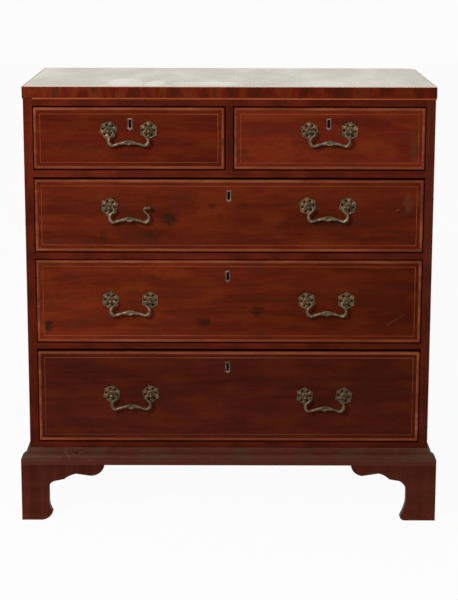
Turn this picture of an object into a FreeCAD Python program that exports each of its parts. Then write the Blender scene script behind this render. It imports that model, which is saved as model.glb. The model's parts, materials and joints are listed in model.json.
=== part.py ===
import FreeCAD
import Part

# Bachelor's chest: two short drawers over three long ones in a mahogany case, on a moulded
# base with bracket feet.  Millimetres.  +Z is up and the drawers open towards -Y.  The origin
# is on the floor, under the middle of the whole chest, handles included.

import os
import re
from math import cos, radians, sin

import Sketcher
from FreeCAD import Placement, Rotation, Vector

doc = FreeCAD.newDocument("BachelorsChest")

# ---------------------------------------------------------------------------------------------
# Driving dimensions
# ---------------------------------------------------------------------------------------------
SIZES = {
    # the case
    "case_wide": 910, "case_deep": 512, "side_thick": 20,
    "top_wide": 914, "top_overhang": 2, "top_thick": 27.6, "band_tall": 24, "band_thick": 3,
    "corner_round": 30, "rebate_wide": 10, "back_thick": 8, "back_gap": 0.6,
    # heights from the floor up: foot, base moulding, then rails and openings in turn
    "foot_tall": 131.6, "base_tall": 36.9,
    "bottom_rail": 12.9, "lower_open": 219.4,
    "low_rail": 13, "middle_open": 194,
    "mid_rail": 14.1, "upper_open": 170.4,
    "high_rail": 15.5, "top_open": 142.9,
    "top_rail": 14.7,
    # rails, runners and dustboards
    "rail_deep": 60, "base_rail_deep": 22, "housing": 6, "housing_stop": 8,
    "divider_thick": 16.3, "tenon": 5, "tenon_set": 10,
    "runner_wide": 44, "middle_runner": 80, "guide_tall": 24,
    "dust_thick": 8, "dust_groove": 5,
    "stop_long": 40, "stop_wide": 20, "stop_tall": 7.5, "stop_play": 0.3,
    # base moulding and bracket feet
    "base_out": 20, "fascia_tall": 13, "fascia_step": 1.5, "ogee_mid": 11, "ogee_up": 25.5,
    "ogee_round": 12, "base_lip": 2.5, "return_past": 4, "strip_out": 18, "strip_tall": 5,
    "left_leg": 63.2, "left_toe_out": 70.8, "left_toe_up": 19, "left_bracket": 191,
    "right_leg": 68.3, "right_toe_out": 81, "right_toe_up": 8, "right_bracket": 195.5,
    "rear_board": 16, "rear_board_long": 120, "rear_leg": 50,
    "corner_block": 38, "block_off_floor": 4, "glue_block": 17, "glue_block_long": 90,
    # drawers
    "short_wide": 421.6, "short_middle": 221.8, "long_wide": 865,
    "top_tall": 136, "upper_tall": 161.7, "middle_tall": 187.6, "lower_tall": 209.5,
    "front_thick": 22, "front_lift": 3.4, "runner_play": 0.2, "headroom": 7.5,
    "drawer_deep": 480, "board_thick": 10, "back_drop": 3,
    "panel_up": 8, "panel_thick": 7, "panel_groove": 5, "front_groove": 6,
    "tail_long": 14, "bead_wide": 6.5, "bead_deep": 6, "bead_proud": 2.5, "bead_rise": 1.9,
    "string_inset": 14.5, "string_wide": 1.6, "string_deep": 1,
    # locks
    "key_up": 35.4, "key_wide": 6.2, "key_tall": 18, "plate_deep": 3, "plate_half": 4.9,
    "plate_rise": 12.2, "plate_flare": 6, "plate_drop": 15,
    "lock_wide": 60, "lock_tall": 50, "lock_thick": 13,
    "bolt_wide": 23.4, "bolt_thick": 4.8, "bolt_tall": 25.7, "bolt_play": 0.3,
    "mortise_wide": 27, "mortise_thick": 8, "mortise_deep": 8, "talon": 4,
    "top_key": 2.3, "upper_key": -1, "middle_key": -3, "lower_key": -3,
    # handles: distance out to each handle's middle, and its height above the drawer front
    "pull_half": 44.45, "pull_reach": 24, "pivot_out": 16,
    "top_left_out": 222.6, "top_right_out": 221.7, "top_left_up": 86.3, "top_right_up": 85.6,
    "upper_left_out": 222.3, "upper_right_out": 219.8,
    "upper_left_up": 101.1, "upper_right_up": 103.5,
    "middle_left_out": 222.1, "middle_right_out": 219.7,
    "middle_left_up": 96.8, "middle_right_up": 95.8,
    "lower_left_out": 222, "lower_right_out": 217.6,
    "lower_left_up": 110.8, "lower_right_up": 106.6,
    "rosette_half": 18, "rosette_thick": 2.4, "pierce_in": 9.5, "pierce_out": 15.5,
    "dome_half": 8, "neck_half": 3.6, "ball_half": 6.5, "eye_half": 4.2, "shank_half": 3, "bore_play": 0.2,
    "nut_wide": 12, "nut_thick": 5,
    "rod_round": 2.3, "pin_play": 0.06, "boss_long": 40, "boss_round": 6.2,
}

sheet = doc.addObject("Spreadsheet::Sheet", "Dims")
for row, (alias, size) in enumerate(SIZES.items(), start=1):
    sheet.set(f"A{row}", alias)
    sheet.set(f"B{row}", str(size))
    sheet.setAlias(f"B{row}", alias)
doc.recompute()


def bound(text):
    """Return an expression whose size names are read from the spreadsheet."""
    return re.sub(r"[a-z]\w*", lambda w: f"Dims.{w[0]}" if w[0] in SIZES else w[0], str(text))


def value(text):
    """Work out an expression of size names now, as a number."""
    return float(sheet.evalExpression(bound(text)))


# ---------------------------------------------------------------------------------------------
# Helpers: sketches, pads, pockets and placing
# ---------------------------------------------------------------------------------------------
nodes = {}
LEFT, RIGHT = -1, 1


def new_body(name):
    """Add an empty body with its own label."""
    body = doc.addObject("PartDesign::Body", name)
    body.Label = name
    return body


def place(piece, across="0", along="0", up="0", turn=None):
    """Bind where a piece stands to the sheet, after an optional fixed turn."""
    if turn is not None:
        piece.Placement = Placement(Vector(), turn)
    for letter, text in zip("xyz", (across, along, up)):
        piece.setExpression(f"Placement.Base.{letter}", bound(text))
    return piece


def arc_between(start, end, radius):
    """Return the short arc from start to end: it turns left for a radius over 0, else right."""
    chord = end - start
    to_left = Vector(-chord.y, chord.x, 0).normalize()
    rise = (radius ** 2 - (chord.Length / 2) ** 2) ** 0.5
    side = 1 if radius > 0 else -1
    centre = (start + end) * 0.5 + to_left * rise * side
    circle = Part.Circle(centre, Vector(0, 0, 1), abs(radius))
    first, last = (start, end) if radius > 0 else (end, start)
    return Part.ArcOfCircle(circle, circle.parameter(first), circle.parameter(last))


def sketch_on(body, name, plane, level="0"):
    """Attach an empty sketch to one of the body's own origin planes."""
    sketch = body.newObject("Sketcher::SketchObject", name)
    origin_plane = next(f for f in body.Origin.OriginFeatures if f.Role == plane)
    sketch.AttachmentSupport = [(origin_plane, "")]
    sketch.MapMode = "FlatFace"
    sketch.setExpression("AttachmentOffset.Base.z", bound(level))
    return sketch


def pin_sizes(sketch, rules):
    """Add constraints, each with the expression that drives it."""
    first = sketch.ConstraintCount
    sketch.addConstraint([Sketcher.Constraint(*rule[:-1], value(rule[-1])) for rule in rules])
    for number, rule in enumerate(rules, start=first):
        if any(alias in SIZES for alias in re.findall(r"[a-z]\w*", str(rule[-1]))):
            sketch.setExpression(f"Constraints[{number}]", bound(rule[-1]))


def draw(body, name, plane, loops, level="0"):
    """Add a sketch of closed loops.

    A corner is (across, up), reached by a straight line, or (across, up, radius), reached by
    an arc that turns left, or right for a radius below 0.
    """
    sketch = sketch_on(body, name, plane, level)
    for loop in loops:
        spots = [Vector(value(corner[0]), value(corner[1]), 0) for corner in loop]
        first = sketch.GeometryCount
        ends, rules = [], []
        for index, corner in enumerate(loop):
            start, end = spots[index - 1], spots[index]
            if len(corner) == 2:
                number = sketch.addGeometry(Part.LineSegment(start, end), False)
                ends.append((1, 2))
            else:
                radius = value(corner[2])
                number = sketch.addGeometry(arc_between(start, end, radius), False)
                ends.append((1, 2) if radius > 0 else (2, 1))
                rules.append(("Radius", number, f"abs({corner[2]})"))
            rules.append(("DistanceX", -1, 1, number, ends[-1][1], corner[0]))
            rules.append(("DistanceY", -1, 1, number, ends[-1][1], corner[1]))
        count = len(loop)
        sketch.addConstraint([
            Sketcher.Constraint("Coincident", first + i, ends[i][1],
                                first + (i + 1) % count, ends[(i + 1) % count][0])
            for i in range(count)])
        pin_sizes(sketch, rules)
    return sketch


def box_loop(low_across, low_up, high_across, high_up):
    """Return the four corners of an upright rectangle."""
    return [(low_across, low_up), (high_across, low_up),
            (high_across, high_up), (low_across, high_up)]


def six_sided(across, up, half_wide):
    """Return the corners of a hexagon, point up about (across, up): half its width over flats."""
    reach = f"({half_wide}) / cos(30)"
    return [(f"{across} + {reach} * cos({60 * n + 30})", f"{up} + {reach} * sin({60 * n + 30})")
            for n in range(6)]


def pad(body, sketch, length, both_ways=False):
    """Pad a sketch along its normal, or to both sides of it."""
    feature = body.newObject("PartDesign::Pad", f"{sketch.Name}_pad")
    feature.Profile = sketch
    feature.setExpression("Length", bound(length))
    if both_ways:
        feature.SideType = "Symmetric"
    return feature


def pocket(body, sketch, depth=None, forward=False, both_ways=False):
    """Cut a sketch into the body, against its normal or forward along it.

    With no depth the cut goes right through, to both sides of the sketch.
    """
    feature = body.newObject("PartDesign::Pocket", f"{sketch.Name}_cut")
    feature.Profile = sketch
    feature.Reversed = forward
    if depth is None:
        feature.Type = "ThroughAll"
        feature.SideType = "Symmetric"
    else:
        feature.setExpression("Length", bound(depth))
        if both_ways:
            feature.SideType = "Symmetric"
    return feature


def block(name, size, spot):
    """Add a plain rectangular block: its sizes and its low corner as expressions."""
    box = doc.addObject("Part::Box", name)
    box.Label = name
    for edge, text in zip(("Length", "Width", "Height"), size):
        box.setExpression(edge, bound(text))
    return place(box, *spot)


def copy_of(master, name, spot, turn=None):
    """Add a linked copy of a master piece at its own place."""
    link = doc.addObject("App::Link", name)
    link.LinkedObject = master
    return place(link, *spot, turn=turn)


def gather(label, members):
    """Make one node of several separate solids."""
    group = doc.addObject("Part::Compound", label)
    group.Label = label
    group.Links = members
    nodes[label] = group
    return group


def strip(name, section, reach, length, mitres=(True, True)):
    """Run a moulding section along +X from 0, its back at y = 0, and mitre its ends.

    reach is how far the section stands out towards -Y: each mitred end slopes back by that.
    """
    body = new_body(name)
    pad(body, draw(body, f"{name}_section", "YZ_Plane", [section]), length)
    left = [("-1", f"-{reach} - 1"), (f"{reach} + 1", "1"), ("-1", "1")]
    right = [(f"{length} - ({across})", up) for across, up in left]
    loops = [loop for loop, wanted in zip((left, right), mitres) if wanted]
    if loops:
        pocket(body, draw(body, f"{name}_mitres", "XY_Plane", loops))
    return body


def wrap(label, section, reach, half_wide, front, deep, up, right_less="0"):
    """Plant a section round the front and both sides of a rectangle, mitred at the corners.

    The right side length stops short at the back by right_less.
    """
    wide = f"2 * ({half_wide} + {reach})"
    side_long = f"({deep}) + {reach}"
    ahead = strip(f"{label}_ahead", section, reach, wide)
    place(ahead, f"-({half_wide}) - {reach}", front, up)
    left = strip(f"{label}_left", section, reach, side_long, (False, True))
    place(left, f"-({half_wide})", f"{front} + {deep}", up, Rotation(Vector(0, 0, 1), -90))
    right = strip(f"{label}_right", section, reach, f"{side_long} - {right_less}", (True, False))
    place(right, half_wide, f"{front} - {reach}", up, Rotation(Vector(0, 0, 1), 90))
    return [ahead, left, right]


# ---------------------------------------------------------------------------------------------
# Levels of the case, as expressions
# ---------------------------------------------------------------------------------------------
FACE = "(pull_reach - case_deep) / 2"          # front plane of the case
BACK = f"{FACE} + case_deep"
INNER = "case_wide / 2 - side_thick"           # from the middle to a side's inner face
BACK_FACE = f"{FACE} + case_deep - back_thick"  # front of the back boards

RAILS = {"lower": "low_rail", "middle": "mid_rail", "upper": "high_rail", "top": "top_rail"}
MOULDING_TOP = "foot_tall + base_tall"
floor, ceiling = {}, {}
level = f"{MOULDING_TOP} + bottom_rail"
for row, rail_above in RAILS.items():
    floor[row] = level
    ceiling[row] = f"{level} + {row}_open"
    level = f"{ceiling[row]} + {rail_above}"
CASE_TOP = level


# ---------------------------------------------------------------------------------------------
# The case
# ---------------------------------------------------------------------------------------------
def make_top():
    """The top board, its right back corner rounded, and the banding round its edge."""
    board = new_body("top_board")
    half, start = "top_wide / 2 - band_thick", "band_thick - top_overhang"
    outline = [(f"-({half})", start), (half, start), (half, "case_deep - corner_round"),
               (f"{half} - corner_round", "case_deep", "corner_round"), (f"-({half})", "case_deep")]
    pad(board, draw(board, "top_outline", "XY_Plane", [outline]), "top_thick")
    nodes["top_board"] = place(board, "0", FACE, CASE_TOP)
    section = box_loop("-band_thick", "0", "0", "band_tall")
    gather("top_edge_banding",
           wrap("banding", section, "band_thick", half, f"{FACE} + {start}",
                f"case_deep - ({start})", f"{CASE_TOP} + top_thick - band_tall", "corner_round"))


def make_side(name, hand):
    """A case side, rebated for the back boards and housed for rails, runners and bottom."""
    body = new_body(name)
    rebate = "case_deep - back_thick"
    outline = [("0", "0"), (f"{hand} * side_thick", "0"), (f"{hand} * side_thick", "case_deep"),
               (f"{hand} * rebate_wide", "case_deep"), (f"{hand} * rebate_wide", rebate),
               ("0", rebate)]
    pad(body, draw(body, f"{name}_plan", "XY_Plane", [outline]), f"{CASE_TOP} - foot_tall")
    housings = [box_loop("base_rail_deep", "base_tall", rebate, "base_tall + bottom_rail")]
    for row, rail_above in RAILS.items():
        low = f"{ceiling[row]} - foot_tall"
        housings.append(box_loop("housing_stop", low, rebate, f"{low} + {rail_above}"))
    sketch = draw(body, f"{name}_housings", "YZ_Plane", housings)
    pocket(body, sketch, "housing", forward=hand == RIGHT)
    nodes[name] = place(body, f"{hand} * ({INNER})", FACE, "foot_tall")


def make_rail(name, tall, up, grooved=True, keys=(), divider_side=None):
    """A front rail, tongued into the side housings, with mortises for bolts and divider."""
    body = new_body(name)
    half, tongue = INNER, f"{INNER} + housing"
    plan = [(f"-({half})", "0"), (half, "0"), (half, "housing_stop"), (tongue, "housing_stop"),
            (tongue, "rail_deep"), (f"-({tongue})", "rail_deep"),
            (f"-({tongue})", "housing_stop"), (f"-({half})", "housing_stop")]
    pad(body, draw(body, f"{name}_plan", "XY_Plane", [plan]), tall)
    if grooved:
        middle = f"({tall}) / 2"
        groove = box_loop("rail_deep - dust_groove", f"{middle} - dust_thick / 2",
                          "rail_deep + 1", f"{middle} + dust_thick / 2")
        pocket(body, draw(body, f"{name}_groove", "YZ_Plane", [groove]))
    if keys:
        middle = "front_thick - lock_thick / 2"
        mortises = [box_loop(f"{key} - mortise_wide / 2", f"{middle} - mortise_thick / 2",
                             f"{key} + mortise_wide / 2", f"{middle} + mortise_thick / 2")
                    for key in keys]
        sketch = draw(body, f"{name}_bolt_mortises", "XY_Plane", mortises)
        pocket(body, sketch, "mortise_deep", forward=True)
    if divider_side is not None:
        mortise = box_loop("-divider_thick / 2", "tenon_set",
                           "divider_thick / 2", "rail_deep - tenon_set")
        on_top = divider_side == "top"
        sketch = draw(body, f"{name}_divider_mortise", "XY_Plane", [mortise],
                      level=tall if on_top else "0")
        pocket(body, sketch, "tenon", forward=not on_top)
    return place(body, "0", FACE, up)


def make_rails():
    """The top rail, the three rails between the rows and the rail under the lowest drawer."""
    top_keys = ("top_key - short_middle", "short_middle - top_key")
    nodes["top_rail"] = make_rail("top_rail_piece", "top_rail", ceiling["top"], grooved=False,
                                  keys=top_keys, divider_side="under")
    nodes["top_rail"].Label = "top_rail"
    high = make_rail("high_rail_piece", "high_rail", ceiling["upper"], keys=("upper_key",),
                     divider_side="top")
    mid = make_rail("mid_rail_piece", "mid_rail", ceiling["middle"], keys=("middle_key",))
    low = make_rail("low_rail_piece", "low_rail", ceiling["lower"], keys=("lower_key",))
    bottom = block("bottom_rail_piece",
                   (f"2 * ({INNER})", "base_rail_deep", "base_tall + bottom_rail"),
                   (f"-({INNER})", FACE, "foot_tall"))
    gather("drawer_rails", [high, mid, low, bottom])


def make_divider():
    """The upright between the two short drawers, with a stub tenon at each end."""
    body = new_body("short_drawer_divider")
    near, far = "tenon_set", "rail_deep - tenon_set"
    outline = [("0", "0"), (near, "0"), (near, "-tenon"), (far, "-tenon"), (far, "0"),
               ("rail_deep", "0"), ("rail_deep", "top_open"), (far, "top_open"),
               (far, "top_open + tenon"), (near, "top_open + tenon"), (near, "top_open"),
               ("0", "top_open")]
    sketch = draw(body, "divider_outline", "YZ_Plane", [outline])
    pad(body, sketch, "divider_thick", both_ways=True)
    nodes["short_drawer_divider"] = place(body, "0", FACE, floor["top"])


def make_runner(name, low, high, tall, up, grooves=()):
    """A bearer behind a rail, from low to high across, grooved where a dustboard meets it."""
    body = new_body(name)
    pad(body, draw(body, f"{name}_section", "XZ_Plane", [box_loop(low, "0", high, tall)]),
        "case_deep - back_thick - rail_deep")
    for number, (edge, inward) in enumerate(grooves):
        middle = f"({tall}) / 2"
        loop = box_loop(f"{edge} - {inward}", f"{middle} - dust_thick / 2",
                        f"{edge} + dust_groove * {inward}", f"{middle} + dust_thick / 2")
        pocket(body, draw(body, f"{name}_groove_{number}", "XZ_Plane", [loop]))
    return place(body, "0", BACK_FACE, up)


def make_inside():
    """Runners, kickers, dustboards, drawer stops, bottom board and back boards."""
    outer, inner = f"{INNER} + housing", f"{INNER} + housing - runner_wide - housing"
    runners, boards = [], []
    for row, rail in RAILS.items():
        up, is_top = ceiling[row], row == "top"
        for hand, word in ((LEFT, "left"), (RIGHT, "right")):
            low, high = sorted((f"{hand} * ({inner})", f"{hand} * ({outer})"), key=value)
            grooves = () if is_top else ((f"{hand} * ({inner})", hand),)
            runners.append(make_runner(f"{row}_{word}_runner", low, high, rail, up, grooves))
        edge = "middle_runner / 2"
        dust_deep = "case_deep - back_thick - rail_deep + dust_groove"
        dust_up = f"{up} + {rail} / 2 - dust_thick / 2"
        dust_front = f"{FACE} + rail_deep - dust_groove"
        if row in ("upper", "top"):
            grooves = () if is_top else ((f"-{edge}", RIGHT), (edge, LEFT))
            runners.append(make_runner(f"{row}_middle_runner", f"-{edge}", edge, rail, up, grooves))
        if row == "upper":
            wide = f"{inner} - {edge} + 2 * dust_groove"
            spans = ((f"-({inner}) - dust_groove", wide), (f"{edge} - dust_groove", wide))
        else:
            spans = ((f"-({inner}) - dust_groove", f"2 * ({inner} + dust_groove)"),)
        if not is_top:
            for number, (start, wide) in enumerate(spans):
                boards.append(block(f"{row}_dustboard_{number}", (wide, dust_deep, "dust_thick"),
                                    (start, dust_front, dust_up)))
    runners.append(block("short_drawer_guide",
                         ("divider_thick", "case_deep - back_thick - rail_deep", "guide_tall"),
                         ("-divider_thick / 2", f"{FACE} + rail_deep", floor["top"])))
    gather("drawer_runners", runners)
    gather("dustboards", boards)

    board = block("bottom_board_piece",
                  (f"2 * ({INNER} + housing)", "case_deep - back_thick - base_rail_deep",
                   "bottom_rail"),
                  (f"-({INNER}) - housing", f"{FACE} + base_rail_deep", MOULDING_TOP))
    rear_rail = block("rear_base_rail", (f"2 * ({INNER})", "base_rail_deep", "base_tall"),
                      (f"-({INNER})", f"{BACK} - base_rail_deep", "foot_tall"))
    gather("bottom_board", [board, rear_rail])

    back_count = 4
    back_wide = f"2 * ({INNER} + rebate_wide) / {back_count}"
    gather("back_boards", [
        block(f"back_board_{number}", (f"{back_wide} - back_gap", "back_thick",
                                       f"{CASE_TOP} - ({MOULDING_TOP})"),
              (f"{back_wide} * ({number} - {back_count / 2}) + back_gap / 2", BACK_FACE,
               MOULDING_TOP))
        for number in range(back_count)])


def make_stops():
    """Two small blocks behind the foot of each drawer front, which stop it flush."""
    stops = []
    for row in RAILS:
        spread = "short_wide / 2 - 3 * stop_long" if row == "top" else "long_wide / 3"
        middles = ("-short_middle", "short_middle") if row == "top" else ("0",)
        for group, middle in enumerate(middles):
            for hand in (LEFT, RIGHT):
                spot = (f"{middle} + {hand} * ({spread}) - stop_long / 2",
                        f"{FACE} + front_thick + stop_play", floor[row])
                name = f"{row}_stop_{group}_{'left' if hand == LEFT else 'right'}"
                stops.append(block(name, ("stop_long", "stop_wide", "stop_tall"), spot))
    gather("drawer_stops", stops)


# ---------------------------------------------------------------------------------------------
# Base moulding and bracket feet
# ---------------------------------------------------------------------------------------------
def make_base_moulding():
    """An ogee over a plain fascia, with short mitred returns and a thin strip along each side."""
    section = [("0", "0"), ("-base_out", "0"), ("-base_out", "fascia_tall"),
               ("fascia_step - base_out", "fascia_tall"),
               ("-ogee_mid", "ogee_up", "-ogee_round"),
               ("-base_lip", "base_tall", "ogee_round"), ("0", "base_tall")]
    members = wrap("moulding", section, "base_out", "case_wide / 2", FACE, "return_past",
                   "foot_tall")
    for word, start in (("left", "-case_wide / 2 - strip_out"), ("right", "case_wide / 2")):
        members.append(block(f"moulding_{word}_strip",
                             ("strip_out", "case_deep - return_past", "strip_tall"),
                             (start, f"{FACE} + return_past", "foot_tall")))
    gather("base_moulding", members)


# The sawn edge of each bracket from the floor up, as (along, up) or (along, up, radius):
# toe, hollow, leg, knee, cusp, crest and the hook that ends it under the moulding.
BRACKETS = {
    LEFT: [(44, 0), ("left_toe_out", "left_toe_up", 28.4), ("left_leg", 42, -45),
           ("left_leg", 79), (75.5, 93, -17), (98, 98), (125.7, 110.7, -70), (156, 106.3),
           ("left_bracket", "foot_tall", 31.5)],
    RIGHT: [(70, 0), ("right_toe_out", "right_toe_up", 11.6), ("right_leg", 46, -120),
            ("right_leg", 74), (85, 95, -28), (107, 98.6), (131, 112.6, -50), (170, 106.7),
            ("right_bracket", "foot_tall", 29)],
}


def make_bracket(name, side, hand, mitred):
    """One shaped board of a bracket foot, standing out to -Y and running towards hand."""
    body = new_body(name)
    loop = [("0", "0")]
    for corner in BRACKETS[side]:
        spot = [f"{hand} * ({corner[0]})", str(corner[1])]
        if len(corner) == 3:
            spot.append(f"{hand} * ({corner[2]})")
        loop.append(tuple(spot))
    loop.append(("0", "foot_tall"))
    pad(body, draw(body, f"{name}_shape", "XZ_Plane", [loop]), "base_out")
    if mitred:
        mitre = [(f"{-hand}", "-base_out - 1"), (f"{hand} * (base_out + 1)", "1"),
                 (f"{-hand}", "1")]
        pocket(body, draw(body, f"{name}_mitre", "XY_Plane", [mitre]))
    return body


def make_front_foot(name, hand):
    """Two mitred bracket boards, a corner block and two glue blocks."""
    corner = f"{hand} * (case_wide / 2 + base_out)"
    ahead = place(make_bracket(f"{name}_ahead", hand, -hand, True), corner, FACE, "0")
    turn = Rotation(Vector(0, 0, 1), 90 * hand)
    beside = place(make_bracket(f"{name}_beside", hand, hand, True),
                   f"{hand} * case_wide / 2", f"{FACE} - base_out", "0", turn)
    edge = "case_wide / 2" if hand == RIGHT else "-case_wide / 2"
    inward = "- corner_block" if hand == RIGHT else ""
    post = block(f"{name}_post", ("corner_block", "corner_block", "foot_tall - block_off_floor"),
                 (f"{edge} {inward}", FACE, "block_off_floor"))
    low = "foot_tall - glue_block"
    start = f"{edge} - corner_block - glue_block_long" if hand == RIGHT else f"{edge} + corner_block"
    across = block(f"{name}_block_ahead", ("glue_block_long", "glue_block", "glue_block"),
                   (start, FACE, low))
    inset = "- glue_block" if hand == RIGHT else ""
    along = block(f"{name}_block_beside", ("glue_block", "glue_block_long", "glue_block"),
                  (f"{edge} {inset}", f"{FACE} + corner_block", low))
    gather(name, [ahead, beside, post, across, along])


def make_rear_foot(name, hand):
    """A shaped side board, a plain board across the back, a corner block and a glue block."""
    turn = Rotation(Vector(0, 0, 1), 90 * hand)
    beside = place(make_bracket(f"{name}_beside", hand, -hand, False),
                   f"{hand} * case_wide / 2", BACK, "0", turn)
    board = new_body(f"{name}_board")
    outline = [("0", "0"), (f"{-hand} * rear_leg", "0"), (f"{-hand} * rear_leg", "foot_tall / 2"),
               (f"{-hand} * rear_board_long", "foot_tall"), ("0", "foot_tall")]
    pad(board, draw(board, f"{name}_outline", "XZ_Plane", [outline]), "rear_board")
    place(board, f"{hand} * case_wide / 2", BACK, "0")
    edge = "case_wide / 2" if hand == RIGHT else "-case_wide / 2"
    inward = "- corner_block" if hand == RIGHT else ""
    post = block(f"{name}_post", ("corner_block", "corner_block", "foot_tall - block_off_floor"),
                 (f"{edge} {inward}", f"{BACK} - rear_board - corner_block", "block_off_floor"))
    inset = "- glue_block" if hand == RIGHT else ""
    along = block(f"{name}_block", ("glue_block", "glue_block_long", "glue_block"),
                  (f"{edge} {inset}",
                   f"{BACK} - rear_board - corner_block - glue_block_long",
                   "foot_tall - glue_block"))
    gather(name, [beside, board, post, along])


# ---------------------------------------------------------------------------------------------
# Drawers
# ---------------------------------------------------------------------------------------------
def tail_loops(root, tip, tall):
    """Return a loop for each dovetail, as (along, up): narrow at its root, wide at its tip."""
    count = 3
    loops = []
    for number in range(count):
        middle = f"({tall}) * {number + 0.5} / {count}"
        at_root, at_tip = f"({tall}) * 0.23 / {count}", f"({tall}) * 0.31 / {count}"
        loops.append([(root, f"{middle} - {at_root}"), (tip, f"{middle} - {at_tip}"),
                      (tip, f"{middle} + {at_tip}"), (root, f"{middle} + {at_root}")])
    return loops


class Drawer:
    """One drawer, drawn about the foot of its front's face and placed in its opening."""

    def __init__(self, name, row, wide, across, key, pulls):
        self.name = name
        self.wide = wide
        self.half = f"{wide} / 2"
        self.tall = f"{row}_tall"
        self.across = across
        self.up = f"{floor[row]} + front_lift"
        self.key = key
        self.pulls = pulls
        self.board_top = f"({row}_open - front_lift - headroom)"
        self.board_foot = "(runner_play - front_lift)"

    def spot(self, across="0", along="0", up="0"):
        """Return a place in this drawer's own frame as expressions in the chest's frame."""
        return (f"{self.across} + {across}", f"{FACE} + {along}", f"{self.up} + {up}")

    def store(self, node, piece):
        """Stand a finished piece in the opening, under its own node name."""
        label = f"{self.name}_{node}"
        piece.Label = label
        nodes[label] = place(piece, *self.spot())

    def make_front(self):
        """The mahogany front, with every cut that the other pieces seat in."""
        name, half, tall, key = f"{self.name}_front_board", self.half, self.tall, self.key
        body = new_body(name)
        pad(body, draw(body, f"{name}_face", "XZ_Plane",
                       [box_loop(f"-{half}", "0", half, tall)], "-front_thick"), "front_thick")

        def ring(inset):
            return box_loop(f"{inset} - {half}", inset, f"{half} - ({inset})", f"{tall} - ({inset})")

        sketch = draw(body, f"{name}_rebate", "XZ_Plane", [ring("-1"), ring("bead_wide")])
        pocket(body, sketch, "bead_deep")
        lines = [ring("string_inset - string_wide / 2"), ring("string_inset + string_wide / 2")]
        pocket(body, draw(body, f"{name}_string", "XZ_Plane", lines), "string_deep")
        sketch = draw(body, f"{name}_plate", "XZ_Plane", [plate_loop(key, f"{tall} - key_up")])
        pocket(body, sketch, "plate_deep")
        slot = key_slot(key, f"{tall} - key_up")
        pocket(body, draw(body, f"{name}_key", "XZ_Plane", [slot]), "front_thick - lock_thick + 1")
        recess = box_loop(f"{key} - lock_wide / 2", f"{tall} - lock_tall",
                          f"{key} + lock_wide / 2", f"{tall} + 1")
        sketch = draw(body, f"{name}_recess", "XZ_Plane", [recess], "-front_thick")
        pocket(body, sketch, "lock_thick", forward=True)
        bores = [six_sided(f"{across} + {hand} * pull_half", up, "shank_half + bore_play")
                 for across, up in self.pulls for hand in (LEFT, RIGHT)]
        pocket(body, draw(body, f"{name}_bores", "XZ_Plane", bores))
        groove = box_loop("front_thick - front_groove", "panel_up",
                          "front_thick + 1", "panel_up + panel_thick")
        pocket(body, draw(body, f"{name}_groove", "YZ_Plane", [groove]),
               f"{self.wide} - 2 * (board_thick - panel_groove)", both_ways=True)
        for hand in (LEFT, RIGHT):
            sockets = tail_loops("front_thick", "front_thick - tail_long", self.board_top)
            sketch = draw(body, f"{name}_sockets_{hand + 1}", "YZ_Plane", sockets,
                          f"{hand} * {half}")
            pocket(body, sketch, "board_thick", forward=hand == LEFT)
        self.store("front", body)

    def make_bead(self):
        """Four strips with a rounded nose, let in round the front and glued at their mitres."""
        nose = "bead_deep + bead_proud - bead_rise"
        section = [("-bead_wide", "0"), ("0", "0"), ("0", nose),
                   ("-bead_wide", nose, "(bead_wide ^ 2 / 4 + bead_rise ^ 2) / (2 * bead_rise)")]
        lie_down = Rotation(Vector(1, 0, 0), 90)
        half, tall = self.half, self.tall
        inner = "bead_wide"
        starts = ((f"-{half}", inner), (f"{half} - {inner}", "0"),
                  (half, f"{tall} - {inner}"), (f"{inner} - {half}", tall))
        strips = []
        for number, (across, up) in enumerate(starts):
            length = self.wide if number % 2 == 0 else tall
            name = f"{self.name}_bead_{number}"
            piece = strip(name, section, "bead_wide", length)
            turn = Rotation(Vector(0, 1, 0), -90 * number) * lie_down
            strips.append(place(piece, across, "bead_deep", up, turn))
        frame = doc.addObject("Part::MultiFuse", f"{self.name}_bead_frame")
        frame.Shapes = strips
        self.store("cock_bead", frame)

    def make_box(self):
        """Two sides dovetailed into the front, and a back dovetailed between them."""
        foot, top, half = self.board_foot, self.board_top, self.half
        start, end = "front_thick", "drawer_deep - board_thick"
        boards = []
        for hand, word in ((LEFT, "left"), (RIGHT, "right")):
            name = f"{self.name}_{word}_side"
            outline = [(start, foot), (end, foot)]
            for loop in tail_loops(end, "drawer_deep", top):
                outline += loop
            outline += [(end, top), (start, top)]
            for loop in reversed(tail_loops(start, "front_thick - tail_long", top)):
                outline += reversed(loop)
            body = new_body(name)
            level = f"-{half}" if hand == LEFT else f"{half} - board_thick"
            pad(body, draw(body, f"{name}_shape", "YZ_Plane", [outline], level), "board_thick")
            groove = box_loop("front_thick - front_groove", "panel_up", "drawer_deep + 1",
                              "panel_up + panel_thick")
            sketch = draw(body, f"{name}_groove", "YZ_Plane", [groove],
                          f"{hand} * ({half} - board_thick)")
            pocket(body, sketch, "panel_groove", forward=hand == RIGHT)
            boards.append(body)
        name = f"{self.name}_back"
        back = new_body(name)
        outline = box_loop(f"-{half}", "panel_up + panel_thick", half, f"{top} - back_drop")
        pad(back, draw(back, f"{name}_shape", "XZ_Plane", [outline], "-drawer_deep"),
            "board_thick")
        for hand in (LEFT, RIGHT):
            sockets = tail_loops(end, "drawer_deep", top)
            sketch = draw(back, f"{name}_sockets_{hand + 1}", "YZ_Plane", sockets,
                          f"{hand} * {half}")
            pocket(back, sketch, "board_thick", forward=hand == LEFT)
        self.store("box", gather(f"{self.name}_boards", boards + [back]))
        del nodes[f"{self.name}_boards"]

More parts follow.
